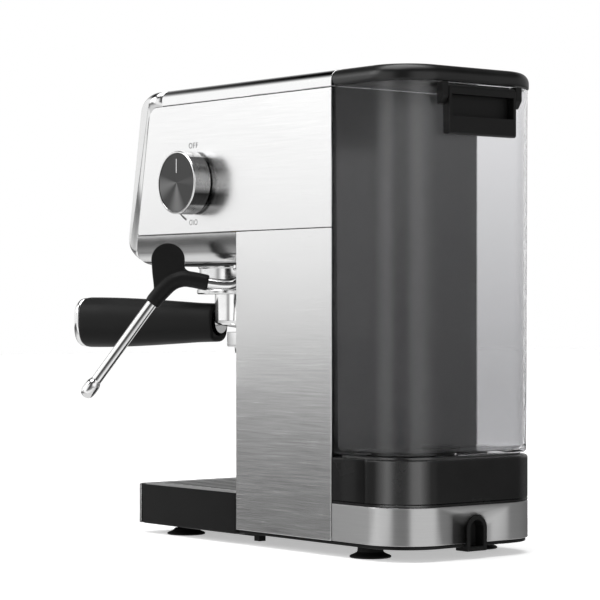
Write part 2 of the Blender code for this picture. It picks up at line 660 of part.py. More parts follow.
def make_hoses():
    routes = {
        "inlet_hose": ([(-20.0, -3.4, 42.0), (-20.0, -12.0, 42.0), (-20.0, -34.0, 38.0),
                        (-20.0, -47.0, 42.0), (-20.0, -50.0, 50.0), (-20.0, -50.0, 57.6)], 3.0, "silicone"),
        "pressure_hose": ([(-20.0, -50.0, 122.4), (-20.0, -50.0, 132.0), (-20.0, -50.0, 175.0),
                           (-20.0, -58.0, 200.0), (-20.0, -85.0, 211.0), (-20.0, -122.0, 211.0),
                           (-20.0, -130.6, 211.0)], 2.6, "silicone"),
        "steam_hose": ([(24.0, -150.0, 232.4), (24.0, -150.0, 240.0), (26.0, -149.6, 256.0),
                        (37.0, -148.0, 265.0), (48.0, -146.4, 261.0), (50.0, -146.0, 256.0),
                        (50.0, -146.0, 253.5)], 2.2, "silicone"),
        "steam_outlet_pipe": ([(50.0, -142.0, 230.4), (50.0, -142.0, 225.0), (46.0, -130.0, 214.0),
                               (WAND_X, WAND_Y, 202.0), (WAND_X, WAND_Y, 195.4)], 2.2, "brass"),
    }
    for name, (route, radius, material) in routes.items():
        link(name, tube(smooth_path(route, 3), radius, sides=8), material)


clear_scene()
ROOT = make_root()
make_base()
make_feet()
make_tank_seat()
make_column()
make_head_sides()
make_head_bezel()
make_head_trims()
make_cup_warmer()
make_underside()
make_front_controls()
make_steam_knob()
make_group()
make_portafilter_bowl()
make_spout()
make_handle()
make_wand()
make_drip_tray()
make_water_tank()
make_tank_lid()
make_tank_handle()
make_pump()
make_hoses()
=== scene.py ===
"""Looks of the espresso machine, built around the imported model.

Shapes are drawn in millimetres on the machine's own axes: X = 0 is its middle, Y = 0 the joint
between the steel casing and the water tank, Z = 0 the worktop. make_object() turns them into the
row frame.
"""
import math

import bpy
import bmesh
from mathutils import Matrix, Vector


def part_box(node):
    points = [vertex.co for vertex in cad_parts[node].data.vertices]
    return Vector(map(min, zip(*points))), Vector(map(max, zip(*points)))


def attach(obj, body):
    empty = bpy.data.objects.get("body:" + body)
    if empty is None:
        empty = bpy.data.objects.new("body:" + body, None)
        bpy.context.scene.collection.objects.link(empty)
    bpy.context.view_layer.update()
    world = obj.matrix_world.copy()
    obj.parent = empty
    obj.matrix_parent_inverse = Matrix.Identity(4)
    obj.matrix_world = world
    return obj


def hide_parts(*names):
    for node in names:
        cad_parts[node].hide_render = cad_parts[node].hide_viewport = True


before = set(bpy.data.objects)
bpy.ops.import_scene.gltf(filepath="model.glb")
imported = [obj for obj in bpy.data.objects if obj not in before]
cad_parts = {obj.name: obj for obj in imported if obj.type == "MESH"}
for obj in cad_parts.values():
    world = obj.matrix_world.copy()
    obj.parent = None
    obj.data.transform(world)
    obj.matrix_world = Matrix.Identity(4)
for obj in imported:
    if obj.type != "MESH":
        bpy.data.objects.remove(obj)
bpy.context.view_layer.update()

MM = 0.001
# Room between neighbouring pieces.
GAP = 0.3

# The machine's own axes in the row frame, from the right column panel: its outer face is the side
# of the machine, and its rear edge is half a millimetre in front of the joint with the tank.
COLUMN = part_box("column_side_right")
HALF_WIDTH = 63.0
SEAM_GAP = 0.5
ORIGIN = Vector((COLUMN[1].x - HALF_WIDTH * MM, COLUMN[1].y + SEAM_GAP * MM, 0.0))


def low(node):
    """Lowest corner of a node in machine millimetres."""
    return (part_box(node)[0] - ORIGIN) / MM


def high(node):
    """Highest corner of a node in machine millimetres."""
    return (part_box(node)[1] - ORIGIN) / MM


def middle(node):
    return (low(node) + high(node)) / 2.0


COLUMN_FRONT = low("column_side_right").y
SEAM_Z = high("column_side_right").z
BASE_TOP = low("column_side_right").z
HEAD_BOTTOM = low("head_lower_trim").z
TOP = high("head_top_trim").z
TOP_SEAM = low("head_top_trim").z
REAR = high("water_tank").y
REAR_RADIUS = 31.6
# Thickness of the steel panels.
SHEET = 1.0

# The head's front leans back from BEZEL_LINE, its place at the height HEAD_BOTTOM. FACE_MIDDLE is the
# height of the middle of the control panel, and each button is named with its X.
LEAN = math.atan2(20.5, 120.0)
BEZEL_LINE = -228.5
BEZEL_WIDTH = 11.0
BEZEL_REAR = -184.7
FACE_MIDDLE = 252.5
BUTTONS = (("power", -30.0), ("brew", 0.0), ("steam", 30.0))
BUTTON_UP = -6.0
LAMP_UP = BUTTON_UP + 16.0

KNOB = middle("steam_knob_body")
KNOB.x = HALF_WIDTH
KNOB_RADIUS = 21.35
# (place from the bottom to the top of the knob's side, brightness of the painted reflection)
KNOB_REFLECTION_BANDS = ((0.0, 0.22), (0.12, 0.34), (0.145, 0.04), (0.31, 0.02), (0.36, 0.25), (0.42, 0.75),
              (0.64, 0.82), (0.71, 0.45), (0.79, 0.10), (0.89, 0.02), (0.905, 0.42), (1.0, 0.60))
PRINT_FACE = HALF_WIDTH + 0.01
PRINT_LIFT = 0.06

GROUP = middle("group_collar")
GROUP.z = 0.0
HANDLE_Z = middle("portafilter_neck").z
HANDLE_ANGLE = math.radians(18.0)
HANDLE_SIN = math.sin(HANDLE_ANGLE)
HANDLE_COS = math.cos(HANDLE_ANGLE)
# Width of the grip over its height.
GRIP_SHAPE = 0.8

# The wand's bends lie in one upright plane; its route is (reach along WAND_DIRECTION, height).
WAND = middle("wand_swivel_nut")
WAND.z = 0.0
WAND_DIRECTION = Vector((0.7788, -0.6273, 0.0))
WAND_FACE = Vector((-WAND_DIRECTION.y, WAND_DIRECTION.x, 0.0))
WAND_ROUTE = ((0.0, 190.0), (0.0, 184.0), (2.4, 177.6), (8.0, 173.8), (14.6, 173.0), (25.7, 174.2),
              (36.0, 176.3), (43.0, 176.9), (50.0, 174.6), (56.0, 169.4), (64.0, 160.0), (86.0, 129.8),
              (101.5, 108.5))
SPAN_STEPS = 8

TRAY_SIDE = HALF_WIDTH - GAP
VALVE_AXIS = (0.0, 33.0, 0.0)

# Camera: millimetres from the right end of the seam, and the direction it looks in.
SENSOR = 36.0
LENS = 138.72
CAMERA_DISTANCE = 1460.0
CAMERA_SIDE = 19.9
CAMERA_HEIGHT = 154.5
VIEW = Vector((-0.6273, -0.7788, 0.0))

# Painted surround, in degrees about the vertical: (start, end, soft edge, strength) of the light in
# front of the machine, of one beside the viewer on each side, and of a dimmer wall behind, in two parts.
WALL_LEVEL = 0.10
CEILING_LEVEL = 1.5
SOFTBOXES = ((-95.0, -32.0, 9.0, 1.1), (-24.0, 19.0, 6.0, 1.25), (58.0, 122.0, 7.0, 1.25),
             (122.0, 180.0, 6.0, 0.4), (-180.0, -95.0, 6.0, 0.4))
FLOOR_LIFT = 0.45


# Outlines

def arc(centre, radius, start, end, steps):
    angles = [math.radians(start + (end - start) * i / steps) for i in range(steps + 1)]
    return [(centre[0] + radius * math.cos(a), centre[1] + radius * math.sin(a)) for a in angles]


def circle(radius, steps, centre=(0.0, 0.0)):
    return arc(centre, radius, 0.0, 360.0, steps)[:-1]


def rounded(corners, steps=10):
    """Outline through corners (x, y, radius), each rounded by an arc of its radius."""
    points = []
    for i, (x, y, radius) in enumerate(corners):
        here = Vector((x, y))
        if radius <= 0.0:
            points.append((x, y))
            continue
        to_last = (Vector(corners[i - 1][:2]) - here).normalized()
        to_next = (Vector(corners[(i + 1) % len(corners)][:2]) - here).normalized()
        half = to_last.angle(to_next) / 2.0
        centre = here + (to_last + to_next).normalized() * radius / math.sin(half)
        first = here + to_last * radius / math.tan(half) - centre
        last = here + to_next * radius / math.tan(half) - centre
        turn = last.angle_signed(first)
        for k in range(steps + 1):
            spoke = first.copy()
            spoke.rotate(Matrix.Rotation(turn * k / steps, 2))
            points.append(tuple(centre + spoke))
    return points


def rectangle(x0, x1, y0, y1, radius=0.0):
    return rounded([(x0, y0, radius), (x1, y0, radius), (x1, y1, radius), (x0, y1, radius)], 8)


def rear_plan(inset, front=SEAM_GAP, rear=REAR, corner=0.0, steps=28):
    """Plan of the pieces behind the casing: straight sides and two large rear corners."""
    side = HALF_WIDTH - inset
    back = rear - inset
    radius = REAR_RADIUS - inset
    return rounded([(side, front, corner), (side, back, radius), (-side, back, radius),
                    (-side, front, corner)], steps)


def arch(half_width, bottom, top):
    crown = arc((0.0, top - half_width), half_width, 0.0, 180.0, 32)
    return [(half_width, bottom)] + crown + [(-half_width, bottom)]


# Solids, as bmeshes in machine millimetres

def loft(layers, closed=False):
    """Skin through equal-length rings of 3-D points, capped at both ends unless it closes on itself."""
    bm = bmesh.new()
    rings = [[bm.verts.new(point) for point in layer] for layer in layers]
    pairs = list(zip(rings, rings[1:]))
    if closed:
        pairs.append((rings[-1], rings[0]))
    for first, second in pairs:
        for i in range(len(first)):
            j = (i + 1) % len(first)
            bm.faces.new((first[i], first[j], second[j], second[i]))
    if not closed:
        bm.faces.new(rings[0][::-1])
        bm.faces.new(rings[-1])
    bmesh.ops.recalc_face_normals(bm, faces=bm.faces)
    return bm


def between(first, second, t):
    return [tuple(a + (b - a) * t for a, b in zip(p, q)) for p, q in zip(first, second)]


def stack(layers, closed=False):
    """Loft through (outline, z) pairs, with extra rings just inside the ends of its tall walls."""
    rings = [[(x, y, z) for x, y in outline] for outline, z in layers]
    result = []
    for first, second in zip(rings, rings[1:]):
        result.append(first)
        height = abs(second[0][2] - first[0][2])
        if height > 3.0:
            result += [between(first, second, 0.3 / height), between(first, second, 1.0 - 0.3 / height)]
    return loft(result + [rings[-1]], closed)


def prism(outline, axis, start, end):
    place = {"X": lambda a, b, t: (t, a, b), "Y": lambda a, b, t: (a, t, b), "Z": lambda a, b, t: (a, b, t)}
    return loft([[place[axis](a, b, t) for a, b in outline] for t in (start, end)])


def box(x0, x1, y0, y1, z0, z1):
    return prism(rectangle(x0, x1, y0, y1), "Z", z0, z1)


def supported(profile):
    """Adds points just inside both ends of the long stretches, so that flat walls shade flat."""
    result = []
    for first, second in zip(profile, profile[1:]):
        result.append(first)
        length = math.dist(first, second)
        if length > 1.5:
            for t in (0.2 / length, 1.0 - 0.2 / length):
                result.append(tuple(a + (b - a) * t for a, b in zip(first, second)))
    return result + [profile[-1]]


def lathe(profile, centre, axis="Z", steps=96):
    """Profile of (radius, along) turned about an axis; a radius of 0 makes a closed end."""
    bm = bmesh.new()
    rings = []
    for radius, along in supported(profile):
        if radius == 0.0:
            rings.append([bm.verts.new((0.0, 0.0, along))] * steps)
        else:
            rings.append([bm.verts.new((x, y, along)) for x, y in circle(radius, steps)])
    pairs = list(zip(rings, rings[1:]))
    if profile[0][0] > 0.0:
        pairs.append((rings[-1], rings[0]))
    for first, second in pairs:
        for i in range(steps):
            j = (i + 1) % steps
            bm.faces.new(list(dict.fromkeys((first[i], first[j], second[j], second[i]))))
    if axis != "Z":
        turned_about = {"X": "Y", "Y": "X"}[axis]
        bmesh.ops.rotate(bm, verts=bm.verts, matrix=Matrix.Rotation(math.radians(90.0), 3, turned_about))
    bmesh.ops.translate(bm, verts=bm.verts, vec=centre)
    bmesh.ops.recalc_face_normals(bm, faces=bm.faces)
    return bm


def rod(radius, bottom, top, centre, steps=96):
    """Upright solid cylinder."""
    return lathe([(0.0, bottom), (radius, bottom), (radius, top), (0.0, top)], centre, steps=steps)


def raised_ring(place, radius, width, height, steps):
    """Flat ring standing on a surface; place(a, b, lift) gives the spot of each of its points."""
    corners = ((radius, 0.0), (radius, height), (radius - width, height), (radius - width, 0.0))
    return loft([[place(a, b, lift) for a, b in circle(size, steps)] for size, lift in corners], closed=True)


def smooth_path(points):
    """Catmull-Rom curve through the route's own points."""
    path = [Vector(p) for p in points]
    ends = [path[0] * 2 - path[1]] + path + [path[-1] * 2 - path[-2]]
    result = []
    for p0, p1, p2, p3 in zip(ends, ends[1:], ends[2:], ends[3:]):
        for k in range(SPAN_STEPS):
            t = k / SPAN_STEPS
            result.append(0.5 * (2 * p1 + (p2 - p0) * t + (2 * p0 - 5 * p1 + 4 * p2 - p3) * t ** 2
                                 + (3 * p1 - p0 - 3 * p2 + p3) * t ** 3))
    return result + [path[-1]]


def ring_frames(path):
    """Two cross directions at each point of a path, carried along it without twist."""
    side = None
    for i, here in enumerate(path):
        ahead = (path[min(i + 1, len(path) - 1)] - path[max(i - 1, 0)]).normalized()
        if side is None:
            side = ahead.orthogonal()
        side = (side - ahead * side.dot(ahead)).normalized()
        yield here, side, ahead.cross(side)


def tube(path, radii, sides=32):
    """Round bar along a path; radii is one radius, or one for each point."""
    if not hasattr(radii, "__len__"):
        radii = [radii] * len(path)
    rings = []
    for (here, side, up), radius in zip(ring_frames(path), radii):
        rings.append([here + side * a + up * b for a, b in circle(radius, sides)])
    return loft(rings)


def merged(*solids):
    """Several bmeshes as one."""
    whole = bmesh.new()
    for solid in solids:
        mesh = bpy.data.meshes.new("part")
        solid.to_mesh(mesh)
        solid.free()
        whole.from_mesh(mesh)
        bpy.data.meshes.remove(mesh)
    return whole


# Pieces

def link_object(name, data):
    obj = bpy.data.objects.new(name, data)
    bpy.context.scene.collection.objects.link(obj)
    return obj


def make_object(name, bm, smooth_angle=35.0):
    bmesh.ops.scale(bm, verts=bm.verts, vec=(MM, MM, MM))
    bmesh.ops.translate(bm, verts=bm.verts, vec=ORIGIN)
    mesh = bpy.data.meshes.new(name)
    bm.to_mesh(mesh)
    bm.free()
    mesh.shade_smooth()
    mesh.set_sharp_from_angle(angle=math.radians(smooth_angle))
    return link_object(name, mesh)


def apply_modifiers(obj):
    """Keeps the evaluated mesh and drops the modifiers that made it."""
    graph = bpy.context.evaluated_depsgraph_get()
    mesh = bpy.data.meshes.new_from_object(obj.evaluated_get(graph))
    obj.modifiers.clear()
    obj.data = mesh


def cut(obj, *cutters, operation="DIFFERENCE"):
    """Takes cutter bmeshes out of a piece, or with another operation joins or trims it with them."""
    for bm in cutters:
        cutter = make_object("cutter", bm)
        modifier = obj.modifiers.new("cut", "BOOLEAN")
        modifier.operation = operation
        modifier.solver = "EXACT"
        modifier.object = cutter
        apply_modifiers(obj)
        bpy.data.objects.remove(cutter, do_unlink=True)
    return obj


def soften(obj, width, segments=3, angle=35.0):
    """Small rounds along the piece's sharp edges."""
    modifier = obj.modifiers.new("edges", "BEVEL")
    modifier.width = width * MM
    modifier.segments = segments
    modifier.limit_method = "ANGLE"
    modifier.angle_limit = math.radians(angle)
    modifier.use_clamp_overlap = True
    modifier.harden_normals = True
    apply_modifiers(obj)
    return obj


def show(obj, material, body, slot, *nodes):
    """Gives a piece its material and its body, and hides the CAD nodes it stands for; slot is not used."""
    obj.data.materials.clear()
    obj.data.materials.append(material)
    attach(obj, body)
    if nodes:
        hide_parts(*nodes)
    return obj


# Materials

def new_material(name):
    material = bpy.data.materials.new(name)
    material.use_nodes = True
    tree = material.node_tree
    return material, tree, tree.nodes["Principled BSDF"]


def feed(tree, socket, value):
    """Links an input socket to another socket, or sets it to a plain value."""
    if isinstance(value, bpy.types.NodeSocket):
        tree.links.new(value, socket)
    else:
        socket.default_value = value


def feed_all(tree, node, inputs):
    for name, value in inputs.items():
        feed(tree, node.inputs[name], value)


def math_node(tree, operation, *values):
    node = tree.nodes.new("ShaderNodeMath")
    node.operation = operation
    for socket, value in zip(node.inputs, values):
        feed(tree, socket, value)
    return node.outputs["Value"]


def object_place(tree):
    return tree.nodes.new("ShaderNodeTexCoord").outputs["Object"]


def mapped_place(tree, setting, value):
    """Object coordinates through a Mapping node with one of its settings changed."""
    mapping = tree.nodes.new("ShaderNodeMapping")
    feed_all(tree, mapping, {"Vector": object_place(tree), setting: value})
    return mapping.outputs["Vector"]


def axes(tree, vector):
    """X, Y and Z sockets of a vector."""
    parts = tree.nodes.new("ShaderNodeSeparateXYZ")
    feed(tree, parts.inputs["Vector"], vector)
    return [parts.outputs[axis] for axis in "XYZ"]


def scaled_noise(tree, stretch, detail=4.0, roughness=0.55):
    """Noise whose size along each axis is set by stretch, in repeats for each metre."""
    noise = tree.nodes.new("ShaderNodeTexNoise")
    feed_all(tree, noise, {"Vector": mapped_place(tree, "Scale", stretch), "Scale": 1.0, "Detail": detail,
                           "Roughness": roughness})
    return noise.outputs["Fac"]


def spread(tree, value, low_out, high_out, low_in=0.3, high_in=0.7, interpolation="LINEAR"):
    """Value from one range to another, held at its ends."""
    node = tree.nodes.new("ShaderNodeMapRange")
    node.interpolation_type = interpolation
    feed_all(tree, node, {"Value": value, "From Min": low_in, "From Max": high_in, "To Min": low_out,
                          "To Max": high_out})
    return node.outputs["Result"]


def mix_colors(tree, factor, first, second):
    node = tree.nodes.new("ShaderNodeMix")
    node.data_type = "RGBA"
    for socket, value in (("A", first), ("B", second)):
        target = [s for s in node.inputs if s.name == socket and s.type == "RGBA"][0]
        feed(tree, target, (*value, 1.0) if isinstance(value, tuple) else value)
    feed(tree, node.inputs["Factor"], factor)
    return [s for s in node.outputs if s.type == "RGBA"][0]


def add_bump(tree, shader, height, strength, distance):
    bump = tree.nodes.new("ShaderNodeBump")
    feed_all(tree, bump, {"Strength": strength, "Distance": distance, "Height": height})
    feed(tree, shader.inputs["Normal"], bump.outputs["Normal"])


def brushed(name, stretch, color=(0.86, 0.86, 0.86), roughness=(0.20, 0.28), bump=0.12, streak=0.0):
    """Brushed steel: long fine scratches, with broad faint clouds of wear."""
    material, tree, shader = new_material(name)
    grain = scaled_noise(tree, stretch, 6.0, 0.7)
    clouds = scaled_noise(tree, (14.0, 14.0, 22.0), 3.0)
    darker = tuple(c * 0.92 for c in color)
    lighter = tuple(min(c * 1.04, 1.0) for c in color)
    tone = mix_colors(tree, spread(tree, grain, 0.0, 1.0), darker, lighter)
    tangent = tree.nodes.new("ShaderNodeTangent")
    tangent.direction_type = "RADIAL"
    tangent.axis = "Z"
    feed_all(tree, shader, {"Base Color": mix_colors(tree, spread(tree, clouds, 0.0, 0.25), tone, darker),
                            "Roughness": spread(tree, grain, *roughness), "Metallic": 1.0,
                            "Anisotropic": streak, "Anisotropic Rotation": 0.25,
                            "Tangent": tangent.outputs["Tangent"]})
    add_bump(tree, shader, grain, bump, 0.00006)
    return material


def polished(name, color=(0.80, 0.80, 0.80), roughness=(0.07, 0.14)):
    """Polished plate with faint smears and hairline scratches."""
    material, tree, shader = new_material(name)
    smears = scaled_noise(tree, (60.0, 60.0, 90.0), 5.0)
    hairs = scaled_noise(tree, (900.0, 300.0, 1400.0), 2.0)
    shade = tuple(c * 0.95 for c in color)
    feed_all(tree, shader, {"Base Color": mix_colors(tree, smears, color, shade),
                            "Roughness": spread(tree, smears, *roughness), "Metallic": 1.0})
    add_bump(tree, shader, hairs, 0.008, 0.00001)
    return material


def plastic(name, color, roughness, texture=900.0, bump=0.25, coat=0.0, specular=0.15):
    """Moulded plastic: a fine spark-eroded texture with slightly polished patches."""
    material, tree, shader = new_material(name)
    pores = scaled_noise(tree, (texture, texture, texture), 3.0)
    patches = scaled_noise(tree, (35.0, 35.0, 35.0), 4.0)
    lighter = tuple(c * 1.35 + 0.002 for c in color)
    feed_all(tree, shader, {"Base Color": mix_colors(tree, patches, color, lighter),
                            "Roughness": spread(tree, patches, roughness * 0.88, roughness * 1.12),
                            "Specular IOR Level": specular, "Coat Weight": coat, "Coat Roughness": 0.06})
    add_bump(tree, shader, pores, bump, 0.00004)
    return material


def about_knob(tree):
    """Position relative to the middle of the knob."""
    return mapped_place(tree, "Location", [-v for v in (ORIGIN + KNOB * MM)])


def spun(name, color):
    """Face turned on a lathe: fine rings, with broad rays of painted highlight in its colour where the light
    would catch them.
    """
    material, tree, shader = new_material(name)
    place = about_knob(tree)
    y, z = axes(tree, place)[1:]
    turn = math_node(tree, "ARCTAN2", y, z)
    fans = math_node(tree, "SINE", math_node(tree, "MULTIPLY_ADD", turn, 4.0, 1.9))
    glow = math_node(tree, "COSINE", math_node(tree, "MULTIPLY_ADD", turn, 1.0, 2.6))
    painted_rays = math_node(tree, "MULTIPLY_ADD", glow, 0.5, math_node(tree, "MULTIPLY", fans, 0.5))
    radius = tree.nodes.new("ShaderNodeVectorMath")
    radius.operation = "LENGTH"
    feed(tree, radius.inputs[0], place)
    rings = tree.nodes.new("ShaderNodeTexNoise")
    rings.noise_dimensions = "1D"
    feed_all(tree, rings, {"W": radius.outputs["Value"], "Scale": 3500.0, "Detail": 3.0})
    # Painted highlight: the rays lighten the face's colour up to 3.2 times.
    bright = tuple(c * 3.2 for c in color)
    tone = mix_colors(tree, spread(tree, painted_rays, 0.0, 1.0, 0.05, 1.0), color, bright)
    feed_all(tree, shader, {"Base Color": tone, "Roughness": spread(tree, rings.outputs["Fac"], 0.34, 0.46),
                            "Metallic": 1.0})
    add_bump(tree, shader, rings.outputs["Fac"], 0.25, 0.00003)
    return material


def painted_reflection_banded(name):
    """Plated knob side with painted reflections: light and dark bands along its length, painted into its
    colour.
    """
    material, tree, shader = new_material(name)
    up = axes(tree, about_knob(tree))[2]
    # Painted reflection: the ramp paints bands of light and dark into the colour along the knob's height.
    ramp = tree.nodes.new("ShaderNodeValToRGB")
    stops = ramp.color_ramp.elements
    while len(stops) < len(KNOB_REFLECTION_BANDS):
        stops.new(0.5)
    for stop, (place, level) in zip(stops, KNOB_REFLECTION_BANDS):
        stop.position = place
        stop.color = (level, level, level, 1.0)
    reach = KNOB_RADIUS * MM
    feed(tree, ramp.inputs["Fac"], spread(tree, up, 0.0, 1.0, -reach, reach))
    smears = scaled_noise(tree, (300.0, 80.0, 80.0), 4.0)
    tone = mix_colors(tree, spread(tree, smears, 0.0, 0.03), ramp.outputs["Color"], (0.5, 0.5, 0.5))
    feed_all(tree, shader, {"Base Color": tone, "Roughness": spread(tree, smears, 0.24, 0.32),
                            "Metallic": 1.0})
    return material


def corner_mask(tree):
    """1 on the two large rear corners and 0 on the flat faces, which are less polished."""
    x, y = axes(tree, object_place(tree))[:2]
    across = math_node(tree, "ABSOLUTE", math_node(tree, "SUBTRACT", x, ORIGIN.x))
    side = spread(tree, across, 1.0, 0.0, (HALF_WIDTH - 3.4) * MM, (HALF_WIDTH - 0.5) * MM)
    back = spread(tree, math_node(tree, "SUBTRACT", y, ORIGIN.y), 1.0, 0.0,
                  (REAR - 3.0) * MM, (REAR - 0.6) * MM)
    return math_node(tree, "MULTIPLY", side, back)


def polish_corners(material):
    """Makes a plastic's reflections strong on the rear corners and weak on the flats."""
    tree = material.node_tree
    level = spread(tree, corner_mask(tree), 0.12, 1.1, 0.0, 1.0)
    feed(tree, tree.nodes["Principled BSDF"].inputs["Specular IOR Level"], level)


def smoked(name):
    """Clear moulded tank wall, greyer towards the bottom, with faint flow marks."""
    material, tree, shader = new_material(name)
    height = spread(tree, axes(tree, object_place(tree))[2], 0.0, 1.0, 0.07, 0.29)
    tint = mix_colors(tree, height, (0.58, 0.58, 0.59), (0.88, 0.88, 0.89))
    flow = scaled_noise(tree, (40.0, 40.0, 6.0), 2.0)
    feed_all(tree, shader, {"Base Color": tint, "Roughness": spread(tree, flow, 0.02, 0.07),
                            "Transmission Weight": 1.0, "IOR": 1.11, "Coat Roughness": 0.24,
                            "Coat Weight": math_node(tree, "MULTIPLY", corner_mask(tree), 0.9)})
    add_bump(tree, shader, flow, 0.04, 0.0002)
    return material


BLACK = (0.005, 0.005, 0.005)
STEEL_SIDE = brushed("brushed_steel_horizontal", (26.0, 26.0, 1500.0), (0.82, 0.82, 0.82))
STEEL_FRONT = brushed("brushed_steel_front", (18.0, 40.0, 2400.0))
STEEL_TOP = brushed("brushed_steel_top", (2400.0, 18.0, 60.0))
STEEL_BAND = brushed("brushed_steel_band", (30.0, 30.0, 2600.0), (0.42, 0.42, 0.42), (0.30, 0.38), 0.08, 0.9)
STEEL_GRID = brushed("brushed_steel_grid", (18.0, 2200.0, 200.0), (0.40, 0.40, 0.40), (0.26, 0.36))
CHROME = polished("polished_chrome")
CHROME_BEZEL = polished("bezel_chrome", (0.68, 0.68, 0.68), (0.17, 0.20))
CHROME_SOFT = polished("satin_chrome", (0.74, 0.74, 0.74), (0.14, 0.22))
SATIN_BLACK = plastic("satin_black_plastic", BLACK, 0.42)
GRIP_BLACK = plastic("soft_touch_black", BLACK, 0.46, 1400.0, 0.3)
LID_BLACK = plastic("gloss_black_lid", BLACK, 0.30, 600.0, 0.05, 0.0, 0.35)
SEAT_BLACK = plastic("seat_black_plastic", (0.011, 0.011, 0.011), 0.26, 700.0, 0.04)
polish_corners(SEAT_BLACK)
RUBBER = plastic("black_rubber", (0.006, 0.006, 0.006), 0.62, 700.0, 0.4)
KNOB_FACE = spun("spun_face_painted_highlights", (0.060, 0.060, 0.060))
KNOB_SIDE = painted_reflection_banded("knob_plating_painted_reflections")
TANK_CLEAR = smoked("smoked_clear_tank")
PRINT = plastic("grey_print", (0.10, 0.10, 0.10), 0.5, 3000.0, 0.1)
ALUMINIUM = brushed("cast_aluminium", (700.0, 700.0, 700.0), (0.52, 0.52, 0.53), (0.42, 0.6), 0.6)
BRASS = brushed("machined_brass", (200.0, 200.0, 1800.0), (0.62, 0.45, 0.18), (0.28, 0.4))
SILICONE = plastic("white_silicone", (0.70, 0.69, 0.66), 0.5, 900.0, 0.2)
BOARD = plastic("circuit_board", (0.02, 0.12, 0.05), 0.42, 300.0, 0.5)
LAMP = plastic("lamp_lens", (0.75, 0.75, 0.72), 0.25, 500.0, 0.1, 0.5)


# Casing

def front_line(z):
    return BEZEL_LINE + (z - HEAD_BOTTOM) * math.tan(LEAN)


def inner_outline(inset, bottom, corner, rear):
    """Side view of what lies behind the bezel, drawn in from the head's outer line."""
    top = TOP - inset
    shift = inset / math.cos(LEAN)
    return rounded([(rear, bottom, 0.0), (front_line(bottom) + shift, bottom, corner),
                    (front_line(top) + shift, top, 9.0), (rear, top, 0.0)], 16)


def make_sides():
    for name, sign in (("right", 1.0), ("left", -1.0)):
        faces = sorted((sign * (HALF_WIDTH - SHEET), sign * HALF_WIDTH))
        column = make_object(f"steel_column_{name}", box(*faces, COLUMN_FRONT, -SEAM_GAP, BASE_TOP, SEAM_Z))
        show(soften(column, 0.3, 2), STEEL_SIDE, "casing", "brushed_steel", f"column_side_{name}")
        outline = inner_outline(BEZEL_WIDTH + GAP, 208.3, 2.0, -SEAM_GAP)
        head = make_object(f"steel_head_{name}", prism(outline, "X", *faces))
        show(soften(head, 0.3, 2), STEEL_SIDE, "casing", "brushed_steel", f"head_side_{name}")
    inner = HALF_WIDTH - SHEET - GAP
    sheet = box(-inner, inner, COLUMN_FRONT, COLUMN_FRONT + SHEET, BASE_TOP, SEAM_Z - SHEET)
    front = make_object("steel_column_front", sheet)
    show(soften(front, 0.3, 2), STEEL_FRONT, "casing", "brushed_steel", "column_front_panel")


def leaning(bm):
    """Moves a solid from the flat drawing of the front panel to its place on the leaning front."""
    move = Matrix.Translation((0.0, front_line(FACE_MIDDLE), FACE_MIDDLE))
    bmesh.ops.transform(bm, verts=bm.verts, matrix=move @ Matrix.Rotation(-LEAN, 4, "X"))
    return bm


def beside(point, other, reach=0.3):
    """The place a short reach from a point towards another."""
    return tuple(a + (b - a) * reach / math.dist(point, other) for a, b in zip(point, other))


def bezel_slice(x):
    """Head's outer line at x from the middle; its long edges are rounded towards each side."""
    deep = HALF_WIDTH - abs(x)

    def drop(radius):
        return radius - math.sqrt(radius ** 2 - (radius - deep) ** 2) if deep < radius else 0.0

    bottom, top = HEAD_BOTTOM + drop(10.0), TOP - drop(7.0)
    outline = rounded([(-150.0, bottom, 0.0), (front_line(bottom) + drop(1.2), bottom, 18.0 - drop(10.0)),
                       (front_line(top) + drop(1.2), top, 15.0 - drop(7.0)), (-150.0, top, 0.0)], 20)
    lower, upper = outline[1:22], outline[22:43]
    outline = [outline[0], beside(lower[0], outline[0])] + lower + [beside(lower[-1], upper[0]),
               beside(upper[0], lower[-1])] + upper + [beside(upper[-1], outline[43]), outline[43]]
    return [(x, y, z) for y, z in outline]


def make_bezel():
    depths = (0.0, 0.1, 0.35, 0.75, 1.3, 2.0, 2.9, 4.0, 5.4, 7.0, 8.4, 10.0)
    places = [d - HALF_WIDTH for d in depths] + [HALF_WIDTH - d for d in reversed(depths)]
    bezel = make_object("bezel", loft([bezel_slice(x) for x in places]), 40.0)
    cut(bezel, prism(inner_outline(BEZEL_WIDTH, HEAD_BOTTOM - 0.6, 8.0, -100.0), "X", -80.0, 80.0),
        box(-80.0, 80.0, BEZEL_REAR, -100.0, TOP_SEAM - 10.0, 330.0),
        leaning(prism(rectangle(-53.0, 53.0, -38.0, 38.0, 6.0), "Y", -20.0, 20.0)))
    show(bezel, CHROME_BEZEL, "casing", "chrome", "head_front_bezel")


def mirrored_profile(half):
    return half + [(-x, z) for x, z in reversed(half)]


